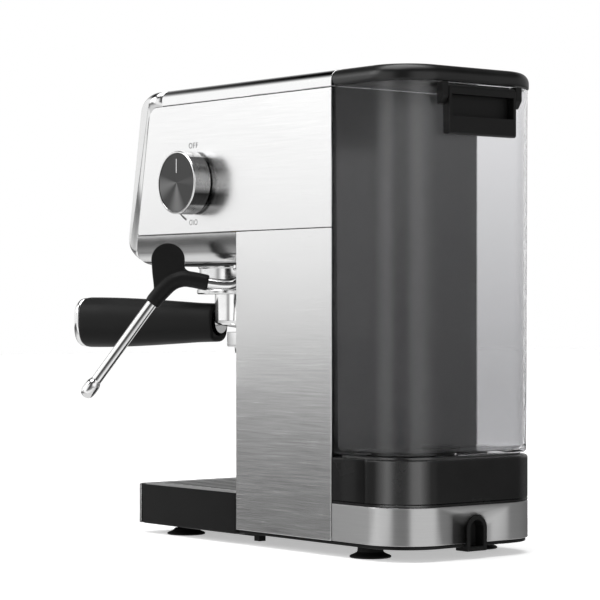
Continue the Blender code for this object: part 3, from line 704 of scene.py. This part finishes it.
def make_trims():
    half = [(HALF_WIDTH - 0.4, TOP_SEAM), (HALF_WIDTH, TOP_SEAM + 0.4)]
    half += arc((HALF_WIDTH - 7.0, TOP - 7.0), 7.0, 0.0, 90.0, 16)
    cover = make_object("top_trim", prism(mirrored_profile(half), "Y", BEZEL_REAR + GAP, -SEAM_GAP))
    cut(cover, prism(rectangle(-52.0, 52.0, -176.0, -9.0, 6.0), "Z", 306.0, 320.0))
    show(soften(cover, 0.3, 2, 50.0), CHROME, "casing", "chrome", "head_top_trim")
    crease = 197.6
    half = arc((HALF_WIDTH - 11.4, crease), 10.2, -84.0, -14.0, 10)
    half += [(HALF_WIDTH - 1.0, crease), (HALF_WIDTH - 0.3, crease + 3.0), (HALF_WIDTH, SEAM_Z - 0.5),
             (HALF_WIDTH - 0.4, SEAM_Z)]
    rail = make_object("lower_trim", prism(mirrored_profile(half), "Y", -222.0, COLUMN_FRONT - GAP))
    behind_bezel = inner_outline(BEZEL_WIDTH + GAP, HEAD_BOTTOM - 0.6, 8.0, -50.0)
    cut(rail, prism(behind_bezel, "X", -80.0, 80.0), operation="INTERSECT")
    cut(rail, box(-52.0, 52.0, -200.0, -106.0, 180.0, 220.0))
    show(soften(rail, 0.25, 2, 50.0), CHROME_BEZEL, "casing", "chrome", "head_lower_trim")


def make_cup_plate():
    plate = make_object("cup_plate", prism(rectangle(-51.7, 51.7, -175.7, -9.3, 5.7), "Z", 306.3, 307.3))
    slots = [prism(rectangle(-38.0, 38.0, -160.0 + row * 22.5, -156.0 + row * 22.5, 1.9), "Z", 300.0, 312.0)
             for row in range(7)]
    cut(plate, *slots)
    show(soften(plate, 0.3, 2), STEEL_TOP, "casing", "brushed_steel", "cup_warmer_plate")


def make_underside():
    plate = make_object("underside", box(-51.7, 51.7, -199.7, -106.3, 186.5, 190.0))
    cut(plate, rod(28.3, 180.0, 200.0, GROUP), rod(7.8, 180.0, 200.0, WAND))
    show(soften(plate, 0.5, 3), SATIN_BLACK, "casing", "black_plastic", "head_underside_plate")


def make_front():
    sheet = prism(rectangle(-52.7, 52.7, -37.7, 37.7, 5.7), "Y", 1.5, 3.5)
    panel = make_object("front_panel", leaning(sheet))
    cut(panel, *[leaning(prism(circle(9.4, 64, (x, BUTTON_UP)), "Y", -5.0, 9.0)) for name, x in BUTTONS])
    show(soften(panel, 0.3, 2), STEEL_FRONT, "casing", "brushed_steel", "control_panel")
    key_profile = [(0.0, -0.2), (3.0, -0.1), (7.0, 0.35), (8.3, 0.4), (8.8, 0.1), (9.0, -0.6), (9.0, -6.0),
                   (2.5, -6.2), (2.5, -8.8), (0.0, -8.8)]
    ring_profile = [(5.2, 0.35), (5.7, 0.35), (5.7, -0.25), (5.2, -0.25)]
    lens_profile = [(0.0, 1.9), (0.8, 1.9), (1.1, 1.6), (1.1, 1.2), (0.0, 1.2)]
    for name, x in BUTTONS:
        body = lathe(key_profile, (x, 0.0, BUTTON_UP), "Y", 64)
        key = make_object(f"{name}_key_cap", leaning(body))
        show(key, LID_BLACK, f"{name}_key", "gloss_black", f"{name}_button")
        ring = lathe(ring_profile, (x, 0.0, BUTTON_UP), "Y", 64)
        show(make_object(f"{name}_key_ring", leaning(ring)), CHROME, f"{name}_key", "chrome")
        lens = lathe(lens_profile, (x, 3.0, LAMP_UP), "Y", 32)
        show(make_object(f"{name}_lamp", leaning(lens)), LAMP, "casing", "gloss_black")


# Steam knob and its marks

def make_knob():
    shell = [(4.4, 3.0), (4.4, 1.0), (19.2, 1.0), (19.6, 1.3), (19.6, 2.2), (20.9, 2.2), (KNOB_RADIUS, 2.6),
             (KNOB_RADIUS, 14.9), (20.0, 14.9), (20.0, 13.8), (4.4, 13.8)]
    body = make_object("knob_shell", lathe(shell, KNOB, "X", 160))
    show(body, KNOB_SIDE, "steam_knob", "chrome", "steam_knob_body")
    rim = [(20.1, 14.95), (KNOB_RADIUS, 14.95), (KNOB_RADIUS, 15.2), (21.15, 15.6), (20.8, 15.8),
           (20.3, 15.8), (20.1, 15.6)]
    show(make_object("knob_rim", lathe(rim, KNOB, "X", 160)), CHROME_SOFT, "steam_knob", "chrome")
    face = [(0.0, 14.1), (19.8, 14.1), (19.8, 15.3), (19.6, 15.45), (10.0, 15.4), (0.0, 15.3)]
    cap = make_object("knob_face", lathe(face, KNOB, "X", 160))
    show(cap, KNOB_FACE, "steam_knob", "dark_steel", "steam_knob_cap")
    line = box(KNOB.x + 15.2, KNOB.x + 15.6, KNOB.y - 0.4, KNOB.y + 0.4, KNOB.z + 6.5, KNOB.z + 16.0)
    show(soften(make_object("knob_pointer", line), 0.1, 1), CHROME_SOFT, "steam_knob", "chrome")


def on_side(points):
    """Flat print on the right side, from (forward, up) outlines about the knob's centre."""
    outline = [(KNOB.y - a, KNOB.z + b) for a, b in points]
    return prism(outline, "X", PRINT_FACE, PRINT_FACE + PRINT_LIFT)


def print_ring(forward, up):
    """Ring of print, a fifth taller than wide."""
    def place(a, b, lift):
        return (PRINT_FACE + lift, KNOB.y - forward - a, KNOB.z + up + b * 1.2)

    return raised_ring(place, 1.6, 0.32, PRINT_LIFT, 40)


def make_marks():
    letters = bpy.data.curves.new("off_mark", "FONT")
    letters.body = "OFF"
    letters.size = 5.4 * MM
    letters.space_character = 1.2
    letters.align_x = "CENTER"
    letters.extrude = 0.03 * MM
    mark = link_object("off_mark", letters)
    mark.location = ORIGIN + Vector((HALF_WIDTH + 0.04, KNOB.y - 1.75, KNOB.z + 24.0)) * MM
    mark.rotation_euler = (math.radians(90.0), 0.0, math.radians(90.0))
    show(mark, PRINT, "casing", "dark_steel")
    slash = on_side([(1.35, -28.4), (1.0, -28.4), (1.85, -24.6), (2.2, -24.6)])
    icons = merged(print_ring(4.5, -26.5), print_ring(-1.3, -26.5), slash)
    show(make_object("steam_marks", icons), PRINT, "casing", "dark_steel")
    outer = []
    inner = []
    for k in range(49):
        t = k / 48.0
        angle = math.radians(64.0 - 132.6 * t)
        middle_line = 24.8 + 1.5 * t
        half = 0.15 + 0.55 * t
        outer.append(((middle_line + half) * math.cos(angle), (middle_line + half) * math.sin(angle)))
        inner.append(((middle_line - half) * math.cos(angle), (middle_line - half) * math.sin(angle)))
    show(make_object("flow_arc", on_side(outer + inner[::-1])), PRINT, "casing", "dark_steel")


# Brewing group and portafilter

def make_group():
    collar = [(32.2, 167.4), (32.8, 167.0), (38.4, 167.0), (39.2, 167.8), (39.2, 169.6), (38.6, 170.6),
              (37.6, 171.2), (37.4, 172.0), (37.4, 184.6), (38.4, 185.4), (38.4, 186.2), (28.3, 186.2),
              (28.3, 183.0), (32.2, 183.0)]
    show(make_object("collar", lathe(collar, GROUP, steps=128)), CHROME_SOFT, "casing", "chrome",
         "group_collar")
    bowl = [(3.5, 141.4), (3.9, 141.0), (8.1, 141.0), (8.6, 141.5), (10.0, 143.2), (18.0, 144.4),
            (24.0, 145.6), (26.0, 146.8), (26.6, 148.4), (26.6, 168.0), (31.6, 168.0), (31.6, 178.2),
            (28.8, 178.2), (28.8, 176.2), (24.5, 176.2), (24.5, 150.0), (3.5, 150.0)]
    show(make_object("portafilter_bowl", lathe(bowl, GROUP, steps=128)), CHROME, "portafilter", "chrome",
         "portafilter_body")


def spout_plan(inset):
    """Rounded block across the handle's direction."""
    flat = rectangle(-22.0 + inset, 22.0 - inset, -8.0 + inset, 8.0 - inset, 3.2 - inset)
    return [along_handle(-y, x, 0.0)[:2] for x, y in flat]


def make_spout():
    layers = ((1.2, 130.2), (0.35, 130.55), (0.0, 131.4), (0.0, 140.2), (0.5, 140.7))
    spout = make_object("spout", stack([(spout_plan(inset), z) for inset, z in layers]))
    nozzle = [(0.0, 126.0), (4.4, 126.0), (4.6, 128.5), (5.0, 132.0), (0.0, 132.0)]
    bore = [(0.0, 120.0), (3.4, 120.0), (2.8, 128.0), (2.8, 134.0), (0.0, 134.0)]
    for side in (-14.0, 14.0):
        outlet = along_handle(0.0, side, 0.0)
        cut(spout, lathe(nozzle, outlet, steps=48), operation="UNION")
        cut(spout, lathe(bore, outlet, steps=48))
    show(spout, CHROME_SOFT, "portafilter", "chrome", "coffee_spout")


def along_handle(reach, side, z):
    """A point by its reach from the group's axis, its offset to the side and its height."""
    return (GROUP.x + reach * HANDLE_SIN + side * HANDLE_COS,
            GROUP.y - reach * HANDLE_COS + side * HANDLE_SIN, z)


def handle_ring(reach, height, width, steps=72, power=0.72):
    """Rounded-square cross-section of the handle."""
    ring = []
    for k in range(steps):
        a = 2.0 * math.pi * k / steps
        side = math.copysign(abs(math.cos(a)) ** power, math.cos(a)) * width / 2.0
        up = math.copysign(abs(math.sin(a)) ** power, math.sin(a)) * height / 2.0
        ring.append(along_handle(reach, side, HANDLE_Z + up))
    return ring


def make_handle():
    neck = [(27.0, 7.5), (27.6, 7.2), (29.0, 6.8), (33.0, 6.8), (34.6, 7.2), (35.2, 7.5)]
    show(make_object("neck", loft([handle_ring(r, 2 * s, 2 * s, 64, 1.0) for r, s in neck])), CHROME,
         "portafilter", "chrome", "portafilter_neck")
    root = [(28.8 + 2.2 * (1.0 - math.cos(math.radians(a))), 24.6 + 2.8 * math.sin(math.radians(a)))
            for a in range(0, 91, 15)] + [(36.0, 27.6)]
    swell = [(39.0 + 103.0 * k / 16.0, 27.6 + 9.0 * math.sin(math.pi / 2.0 * k / 16.0) ** 1.15)
             for k in range(1, 17)]
    end = [(142.9, 36.5), (143.8, 36.2), (144.4, 35.6)]
    grip = make_object("grip", loft([handle_ring(r, h, GRIP_SHAPE * h) for r, h in root + swell + end]), 50.0)
    cut(grip, loft([handle_ring(r, 18.8, 18.8, 64, 1.0) for r in (20.0, 35.5)]))
    show(grip, GRIP_BLACK, "portafilter", "black_plastic", "portafilter_grip")
    cap = [(144.8, 34.6), (145.0, 35.4), (146.8, 35.7), (148.2, 35.2), (149.3, 33.8), (149.9, 31.6),
           (150.15, 28.5), (150.2, 20.0), (150.2, 8.0)]
    show(make_object("end_cap", loft([handle_ring(r, h, GRIP_SHAPE * h) for r, h in cap]), 60.0), CHROME,
         "portafilter", "chrome", "grip_end_cap")


# Steam wand

def wand_point(reach, z):
    return Vector((WAND.x, WAND.y, z)) + WAND_DIRECTION * reach


def make_wand():
    path = smooth_path([wand_point(reach, z) for reach, z in WAND_ROUTE])
    show(make_object("steam_pipe", tube(path, 3.6, 40)), CHROME, "steam_wand", "chrome", "wand_pipe")
    inside = path[5 * SPAN_STEPS:10 * SPAN_STEPS + 1]
    radii = [5.5] * len(inside)
    radii[0] = radii[-1] = 5.1
    tongue = arc((53.0, 189.9), 11.3, -12.0, 190.0, 40)
    tongue += [(41.9, 185.4), (41.4, 183.8), (40.2, 182.9), (37.6, 181.6), (36.0, 178.0), (43.0, 176.6),
               (50.0, 174.6), (56.0, 169.4), (60.5, 165.4), (62.4, 168.6), (62.9, 174.5), (63.7, 181.0)]
    paddle = loft([[wand_point(*p) + WAND_FACE * t for p in tongue] for t in (-2.4, 2.4)])
    sleeve = make_object("wand_grip", merged(tube(inside, radii, 32), paddle))
    remesh = sleeve.modifiers.new("skin", "REMESH")
    remesh.mode = "VOXEL"
    remesh.voxel_size = 0.55 * MM
    remesh.use_smooth_shade = True
    blend = sleeve.modifiers.new("blend", "SMOOTH")
    blend.factor = 0.6
    blend.iterations = 9
    apply_modifiers(sleeve)
    show(sleeve, GRIP_BLACK, "steam_wand", "black_plastic", "wand_sleeve")
    ring = raised_ring(lambda a, b, lift: wand_point(53.0 + a, 190.4 + b) + WAND_FACE * (2.3 + lift),
                       4.4, 0.5, 0.22, 48)
    show(make_object("paddle_mark", ring), SATIN_BLACK, "steam_wand", "black_plastic")
    start = wand_point(*WAND_ROUTE[-1])
    lean = (start - wand_point(*WAND_ROUTE[-2])).normalized()
    profile = ((0.1, 3.55), (0.8, 3.7), (1.6, 4.1), (2.6, 4.55), (3.8, 4.85), (5.5, 4.95), (7.5, 4.95),
               (9.6, 4.85), (11.0, 4.6), (12.2, 4.1), (13.1, 3.3), (13.7, 2.3), (14.0, 1.3))
    nozzle = tube([start + lean * t for t, r in profile], [r for t, r in profile], 48)
    show(make_object("nozzle", nozzle, 50.0), CHROME_SOFT, "steam_wand", "chrome", "wand_tip")
    nut = [(4.0, 183.0), (4.3, 182.6), (8.2, 182.6), (9.0, 183.3), (9.2, 184.0), (9.2, 186.2), (7.5, 186.2),
           (7.5, 195.0), (4.0, 195.0)]
    show(make_object("swivel", lathe(nut, WAND, steps=64)), CHROME, "casing", "chrome", "wand_swivel_nut")


# Drip tray

def tray_plan(inset):
    side = TRAY_SIDE - inset
    return rectangle(-side, side, -209.7 + inset, COLUMN_FRONT - 2.0 * GAP - inset, 2.2)


def make_tray():
    walls = ((1.4, 6.5), (0.4, 6.9), (0.0, 8.0), (0.0, 33.6), (0.3, 33.9), (1.0, 33.9), (1.3, 33.6),
             (1.3, 31.9), (2.0, 31.9), (2.2, 31.5), (2.2, 10.0), (3.4, 9.0))
    tray = make_object("tray", stack([(tray_plan(inset), z) for inset, z in walls]))
    show(tray, SATIN_BLACK, "drip_drawer", "black_plastic", "drip_tray")
    outline = rounded([(-TRAY_SIDE, -210.0, 0.0), (-TRAY_SIDE, -214.0, 3.0), (TRAY_SIDE, -214.0, 3.0),
                       (TRAY_SIDE, -210.0, 0.0)])
    fascia = make_object("tray_fascia", prism(outline, "Z", 6.5, 34.4))
    show(soften(fascia, 0.5, 3, 50.0), STEEL_FRONT, "drip_drawer", "brushed_steel", "tray_front_fascia")
    grid = make_object("tray_grid", prism(tray_plan(1.6), "Z", 32.2, 34.4))
    cut(grid, *[prism(rectangle(-50.0, 50.0, -201.0 + row * 10.8, -195.8 + row * 10.8, 2.4), "Z", 28.0, 40.0)
                for row in range(9)])
    show(soften(grid, 0.5, 3, 50.0), STEEL_GRID, "drip_grate", "brushed_steel", "drip_grid")


# Rear: base, seat, tank, lid and bail

def gland_opening():
    return prism(arch(8.8, 0.0, 27.6), "Y", 55.7, 80.0)


def make_base():
    pan = make_object("pan", stack([(rounded([(61.5, -98.5, 2.0), (61.5, 64.8, 30.0), (-61.5, 64.8, 30.0),
                                              (-61.5, -98.5, 2.0)], 24), z) for z in (7.7, 9.6)]))
    tongue = make_object("sled", box(-49.0, 49.0, -198.0, -99.0, 4.6, 6.2))
    cut(pan, gland_opening())
    show(soften(pan, 0.3, 2), SATIN_BLACK, "casing", "black_plastic", "base_pan")
    show(soften(tongue, 0.4, 2), SATIN_BLACK, "casing", "black_plastic", "base_pan")
    strip = ((1.5, 9.9), (1.5, 33.8), (0.3, 33.9), (0.0, 34.2), (0.0, 35.1), (0.3, 35.4))
    housing = make_object("base_strip", stack([(rear_plan(inset), z) for inset, z in strip]))
    cut(housing, gland_opening())
    show(housing, SEAT_BLACK, "casing", "black_plastic", "base_rear_housing")
    sheet = ((1.2, 10.1), (0.2, 10.1), (0.0, 10.4), (0.0, 33.3), (0.2, 33.6), (1.2, 33.6))
    band = make_object("rear_band", stack([(rear_plan(inset), z) for inset, z in sheet]))
    cut(band, stack([(rear_plan(1.2, -5.0), z) for z in (5.0, 40.0)]), gland_opening())
    show(band, STEEL_BAND, "casing", "brushed_steel", "base_rear_band")


def make_gland():
    gland = make_object("cord_arch", prism(arch(8.5, 4.8, 27.3), "Y", 56.0, 67.2))
    cut(gland, prism(arch(5.6, 7.6, 24.4), "Y", 59.0, 80.0))
    show(soften(gland, 0.7, 4, 50.0), RUBBER, "casing", "rubber", "cord_gland")


def make_feet():
    for place, y, top in (("front", -179.0, 4.3), ("rear", 17.9, 7.4)):
        profile = [(0.0, 0.4), (9.0, 0.4), (10.0, 0.0), (12.8, 0.0), (13.2, 0.4), (13.2, 1.0), (12.6, 1.5),
                   (10.8, 2.2), (9.2, 3.0), (8.3, 3.8), (8.0, top), (0.0, top)]
        for name, sign in (("right", 1.0), ("left", -1.0)):
            foot = make_object(f"foot_{place}_{name}", lathe(profile, (46.0 * sign, y, 0.0), steps=64))
            show(foot, RUBBER, "casing", "rubber", f"{place}_foot_{name}")


def make_seat():
    layers = [(rear_plan(0.3), 35.7), (rear_plan(0.0), 36.0), (rear_plan(0.0), 61.6),
              (rear_plan(0.3), 62.5), (rear_plan(1.2, 1.2), 63.0), (rear_plan(5.0, 4.0), 63.0),
              (rear_plan(5.0, 4.0), 64.2)]
    seat = make_object("tank_cradle", stack(layers))
    slits = [box(x - 1.4, x + 1.4, 31.0, 32.2, 36.0, 66.0) for x in (-HALF_WIDTH, HALF_WIDTH)]
    cut(seat, rod(9.6, 48.0, 70.0, VALVE_AXIS), *slits)
    show(seat, SEAT_BLACK, "casing", "black_plastic", "tank_seat")


def make_tank():
    top = high("water_tank").z
    bottom = low("water_tank").z
    outer = [(rear_plan(4.0, 4.0), bottom), (rear_plan(2.2, 2.2), bottom + 0.3),
             (rear_plan(1.3, 1.3), bottom + 1.1), (rear_plan(1.0, 1.0), bottom + 2.4), (rear_plan(0.0), top)]
    inner = [(rear_plan(2.0, 2.5), top), (rear_plan(2.1, 2.6), top - 12.0),
             (rear_plan(3.0, 3.4), bottom + 5.0), (rear_plan(4.2, 4.6), bottom + 2.6),
             (rear_plan(6.4, 6.4), bottom + 2.0)]
    tank = make_object("tank", stack(outer + inner), 25.0)
    cut(tank, rod(7.0, 60.0, 70.0, VALVE_AXIS, 48))
    show(tank, TANK_CLEAR, "tank", "smoked_clear", "water_tank")


def lid_layer(z, inset):
    """Plan of the lid at one height; its front edge is a barrel about the hinge axis."""
    drop = z - 302.6
    front = 5.9 - math.sqrt(max(5.4 ** 2 - drop ** 2, 0.0))
    return rear_plan(inset, front, 67.5)


def make_lid():
    lip = ((297.2, 1.0), (297.5, 0.4), (298.1, 0.05), (299.5, 0.0))
    layers = [(lid_layer(z, inset), z) for z, inset in lip]
    for k in range(15):
        a = math.radians(90.0 * k / 14.0)
        z = TOP - 7.0 + 7.0 * math.sin(a)
        layers.append((lid_layer(z, 7.0 - 7.0 * math.cos(a)), z))
    show(make_object("lid", stack(layers), 40.0), LID_BLACK, "tank_cover", "gloss_black", "tank_lid")


def make_bail():
    y, z, half = 69.6, 292.5, 2.95
    side = arc((y, z), half, 0.0, 180.0, 20)
    side += [(y - half, 266.0), (y - half + 1.5, 264.5), (y + half - 1.0, 264.5), (y + half, 265.5)]
    bail = make_object("bail", prism(side, "X", -28.6, 28.6))
    cut(bail, box(-26.4, 26.4, 60.0, 80.0, 276.0, 289.4))
    show(soften(bail, 0.4, 3, 50.0), SATIN_BLACK, "tank_bail", "black_plastic", "tank_handle")
    backing = box(-28.4, 28.4, REAR + 0.04, REAR + 0.2, 265.0, 296.5)
    show(make_object("bail_backing", backing), SATIN_BLACK, "tank", "black_plastic")
    for name, sign in (("right", 1.0), ("left", -1.0)):
        outer = sorted((sign * 28.9, sign * 33.9))
        outline = rounded([(66.6, 296.6, 0.0), (66.6, 283.0, 0.6), (69.0, 283.0, 0.6), (72.2, 288.0, 1.2),
                           (72.2, 296.6, 0.0)], 5)
        ear = make_object(f"bail_ear_{name}", prism(outline, "X", *outer))
        show(soften(ear, 0.4, 2, 50.0), SATIN_BLACK, "tank", "black_plastic", f"handle_ear_{name}")


# Nodes that keep their own shape

def finish_kept_nodes():
    finishes = {
        SATIN_BLACK: ("rear_wall", "support_stub"),
        RUBBER: ("tank_valve", "pump_bracket"),
        CHROME_SOFT: ("shower_screen", "shower_screw"),
        STEEL_GRID: ("filter_basket",),
        ALUMINIUM: ("thermoblock", "pump"),
        BRASS: ("valve_stem", "steam_valve", "steam_outlet_pipe"),
        SILICONE: ("group_gasket", "inlet_hose", "pressure_hose", "steam_hose"),
        BOARD: ("control_board",),
    }
    for material, names in finishes.items():
        for name in names:
            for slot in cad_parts[name].material_slots:
                slot.material = material


# Stage

def make_camera():
    data = bpy.data.cameras.new("camera")
    data.sensor_width = SENSOR
    data.lens = LENS
    data.shift_y = 0.02
    data.clip_start = 0.05
    data.clip_end = 50.0
    camera = link_object("camera", data)
    across = Vector((VIEW.y, -VIEW.x, 0.0))
    seam = Vector((HALF_WIDTH, 0.0, 0.0))
    spot = seam - VIEW * CAMERA_DISTANCE - across * CAMERA_SIDE
    camera.location = ORIGIN + Vector((spot.x, spot.y, CAMERA_HEIGHT)) * MM
    camera.rotation_euler = VIEW.to_track_quat("-Z", "Y").to_euler()
    bpy.context.scene.camera = camera


def band(tree, angle, start, end, edge):
    """1 between two angles in degrees and 0 outside, with soft edges."""
    edges = [spread(tree, angle, *levels, math.radians(at - edge), math.radians(at + edge), "SMOOTHSTEP")
             for at, levels in ((start, (0.0, 1.0)), (end, (1.0, 0.0)))]
    return math_node(tree, "MULTIPLY", *edges)


def make_studio():
    """White room: soft lights on both sides of the viewer and overhead, with dark gaps between them."""
    world = bpy.data.worlds.new("studio")
    bpy.context.scene.world = world
    world.use_nodes = True
    tree = world.node_tree
    background = tree.nodes["Background"]
    x, y, z = axes(tree, tree.nodes.new("ShaderNodeTexCoord").outputs["Generated"])
    azimuth = math_node(tree, "ARCTAN2", y, x)
    elevation = math_node(tree, "ARCSINE", z)
    glow = WALL_LEVEL
    for start, end, edge, strength in SOFTBOXES:
        lamp = math_node(tree, "MULTIPLY", band(tree, azimuth, start, end, edge), strength)
        glow = math_node(tree, "ADD", glow, lamp)
    cove = band(tree, elevation, -40.0, 30.0, 9.0)
    ceiling = math_node(tree, "MULTIPLY", band(tree, elevation, 58.0, 100.0, 6.0), CEILING_LEVEL)
    glow = math_node(tree, "ADD", math_node(tree, "MULTIPLY", glow, cove), ceiling)
    feed_all(tree, background, {"Color": (1.0, 1.0, 1.0, 1.0), "Strength": seen_white(tree, glow)})


def looked_at(tree, path):
    """1 for what is looked at, or looked at through a clear piece, and 0 for what is only reflected."""
    return math_node(tree, "MAXIMUM", path.outputs["Is Camera Ray"], path.outputs["Is Transmission Ray"])


def seen_white(tree, value):
    """The value for reflections and shading, and plain white for what is looked at or looked through."""
    seen = tree.nodes.new("ShaderNodeMix")
    path = tree.nodes.new("ShaderNodeLightPath")
    feed_all(tree, seen, {"Factor": looked_at(tree, path), "A": value, "B": 1.0})
    return seen.outputs["Result"]


def make_floor():
    """Pale floor; in reflections it glows with painted light, bright close by and in the pools of the two
    lights beside the viewer, and dark towards the horizon.
    """
    bm = bmesh.new()
    bmesh.ops.create_grid(bm, x_segments=1, y_segments=1, size=6.0)
    mesh = bpy.data.meshes.new("floor")
    bm.to_mesh(mesh)
    bm.free()
    floor = link_object("floor", mesh)
    material, tree, shader = new_material("pale_floor")
    path = tree.nodes.new("ShaderNodeLightPath")
    direct = looked_at(tree, path)
    feed_all(tree, shader, {"Base Color": (0.90, 0.90, 0.90, 1.0), "Roughness": 0.9,
                            "Specular IOR Level": 0.0, "Emission Color": (1.0, 1.0, 1.0, 1.0),
                            "Emission Strength": math_node(tree, "MULTIPLY", direct, FLOOR_LIFT)})
    slant = tree.nodes.new("ShaderNodeLayerWeight")
    # Painted light: what reflections see of the floor is this emission, not the floor lit by the lamps.
    mirrored = tree.nodes.new("ShaderNodeEmission")
    near = spread(tree, slant.outputs["Facing"], 0.95, 0.08, 0.50, 0.90)
    x, y = axes(tree, object_place(tree))[:2]
    azimuth = math_node(tree, "ARCTAN2", math_node(tree, "SUBTRACT", y, 0.15), x)
    for start, end, edge, strength in SOFTBOXES[1:3]:
        lit = math_node(tree, "MULTIPLY", band(tree, azimuth, start, end, edge), strength)
        near = math_node(tree, "MAXIMUM", near, lit)
    feed(tree, mirrored.inputs["Strength"], near)
    both = tree.nodes.new("ShaderNodeMixShader")
    feed(tree, both.inputs["Fac"], math_node(tree, "SUBTRACT", path.outputs["Is Glossy Ray"], direct))
    feed(tree, both.inputs[1], shader.outputs["BSDF"])
    feed(tree, both.inputs[2], mirrored.outputs["Emission"])
    feed(tree, tree.nodes["Material Output"].inputs["Surface"], both.outputs["Shader"])
    mesh.materials.append(material)


def add_light(name, place, target, size, power):
    data = bpy.data.lights.new(name, "AREA")
    data.shape = "RECTANGLE"
    data.size, data.size_y = size
    data.energy = power
    light = link_object(name, data)
    light.location = place
    light.rotation_euler = (Vector(target) - Vector(place)).to_track_quat("-Z", "Y").to_euler()


def make_lights():
    add_light("overhead", (0.2, 0.0, 1.7), (0.0, 0.0, 0.1), (1.2, 1.6), 16.0)
    add_light("side", (1.4, -0.9, 1.1), (0.0, -0.05, 0.2), (0.8, 1.0), 9.0)


make_camera()
make_studio()
make_floor()
make_lights()
make_sides()
make_bezel()
make_trims()
make_cup_plate()
make_underside()
make_front()
make_knob()
make_marks()
make_group()
make_spout()
make_handle()
make_wand()
make_tray()
make_base()
make_gland()
make_feet()
make_seat()
make_tank()
make_lid()
make_bail()
finish_kept_nodes()
bpy.context.scene.view_settings.view_transform = "Standard"
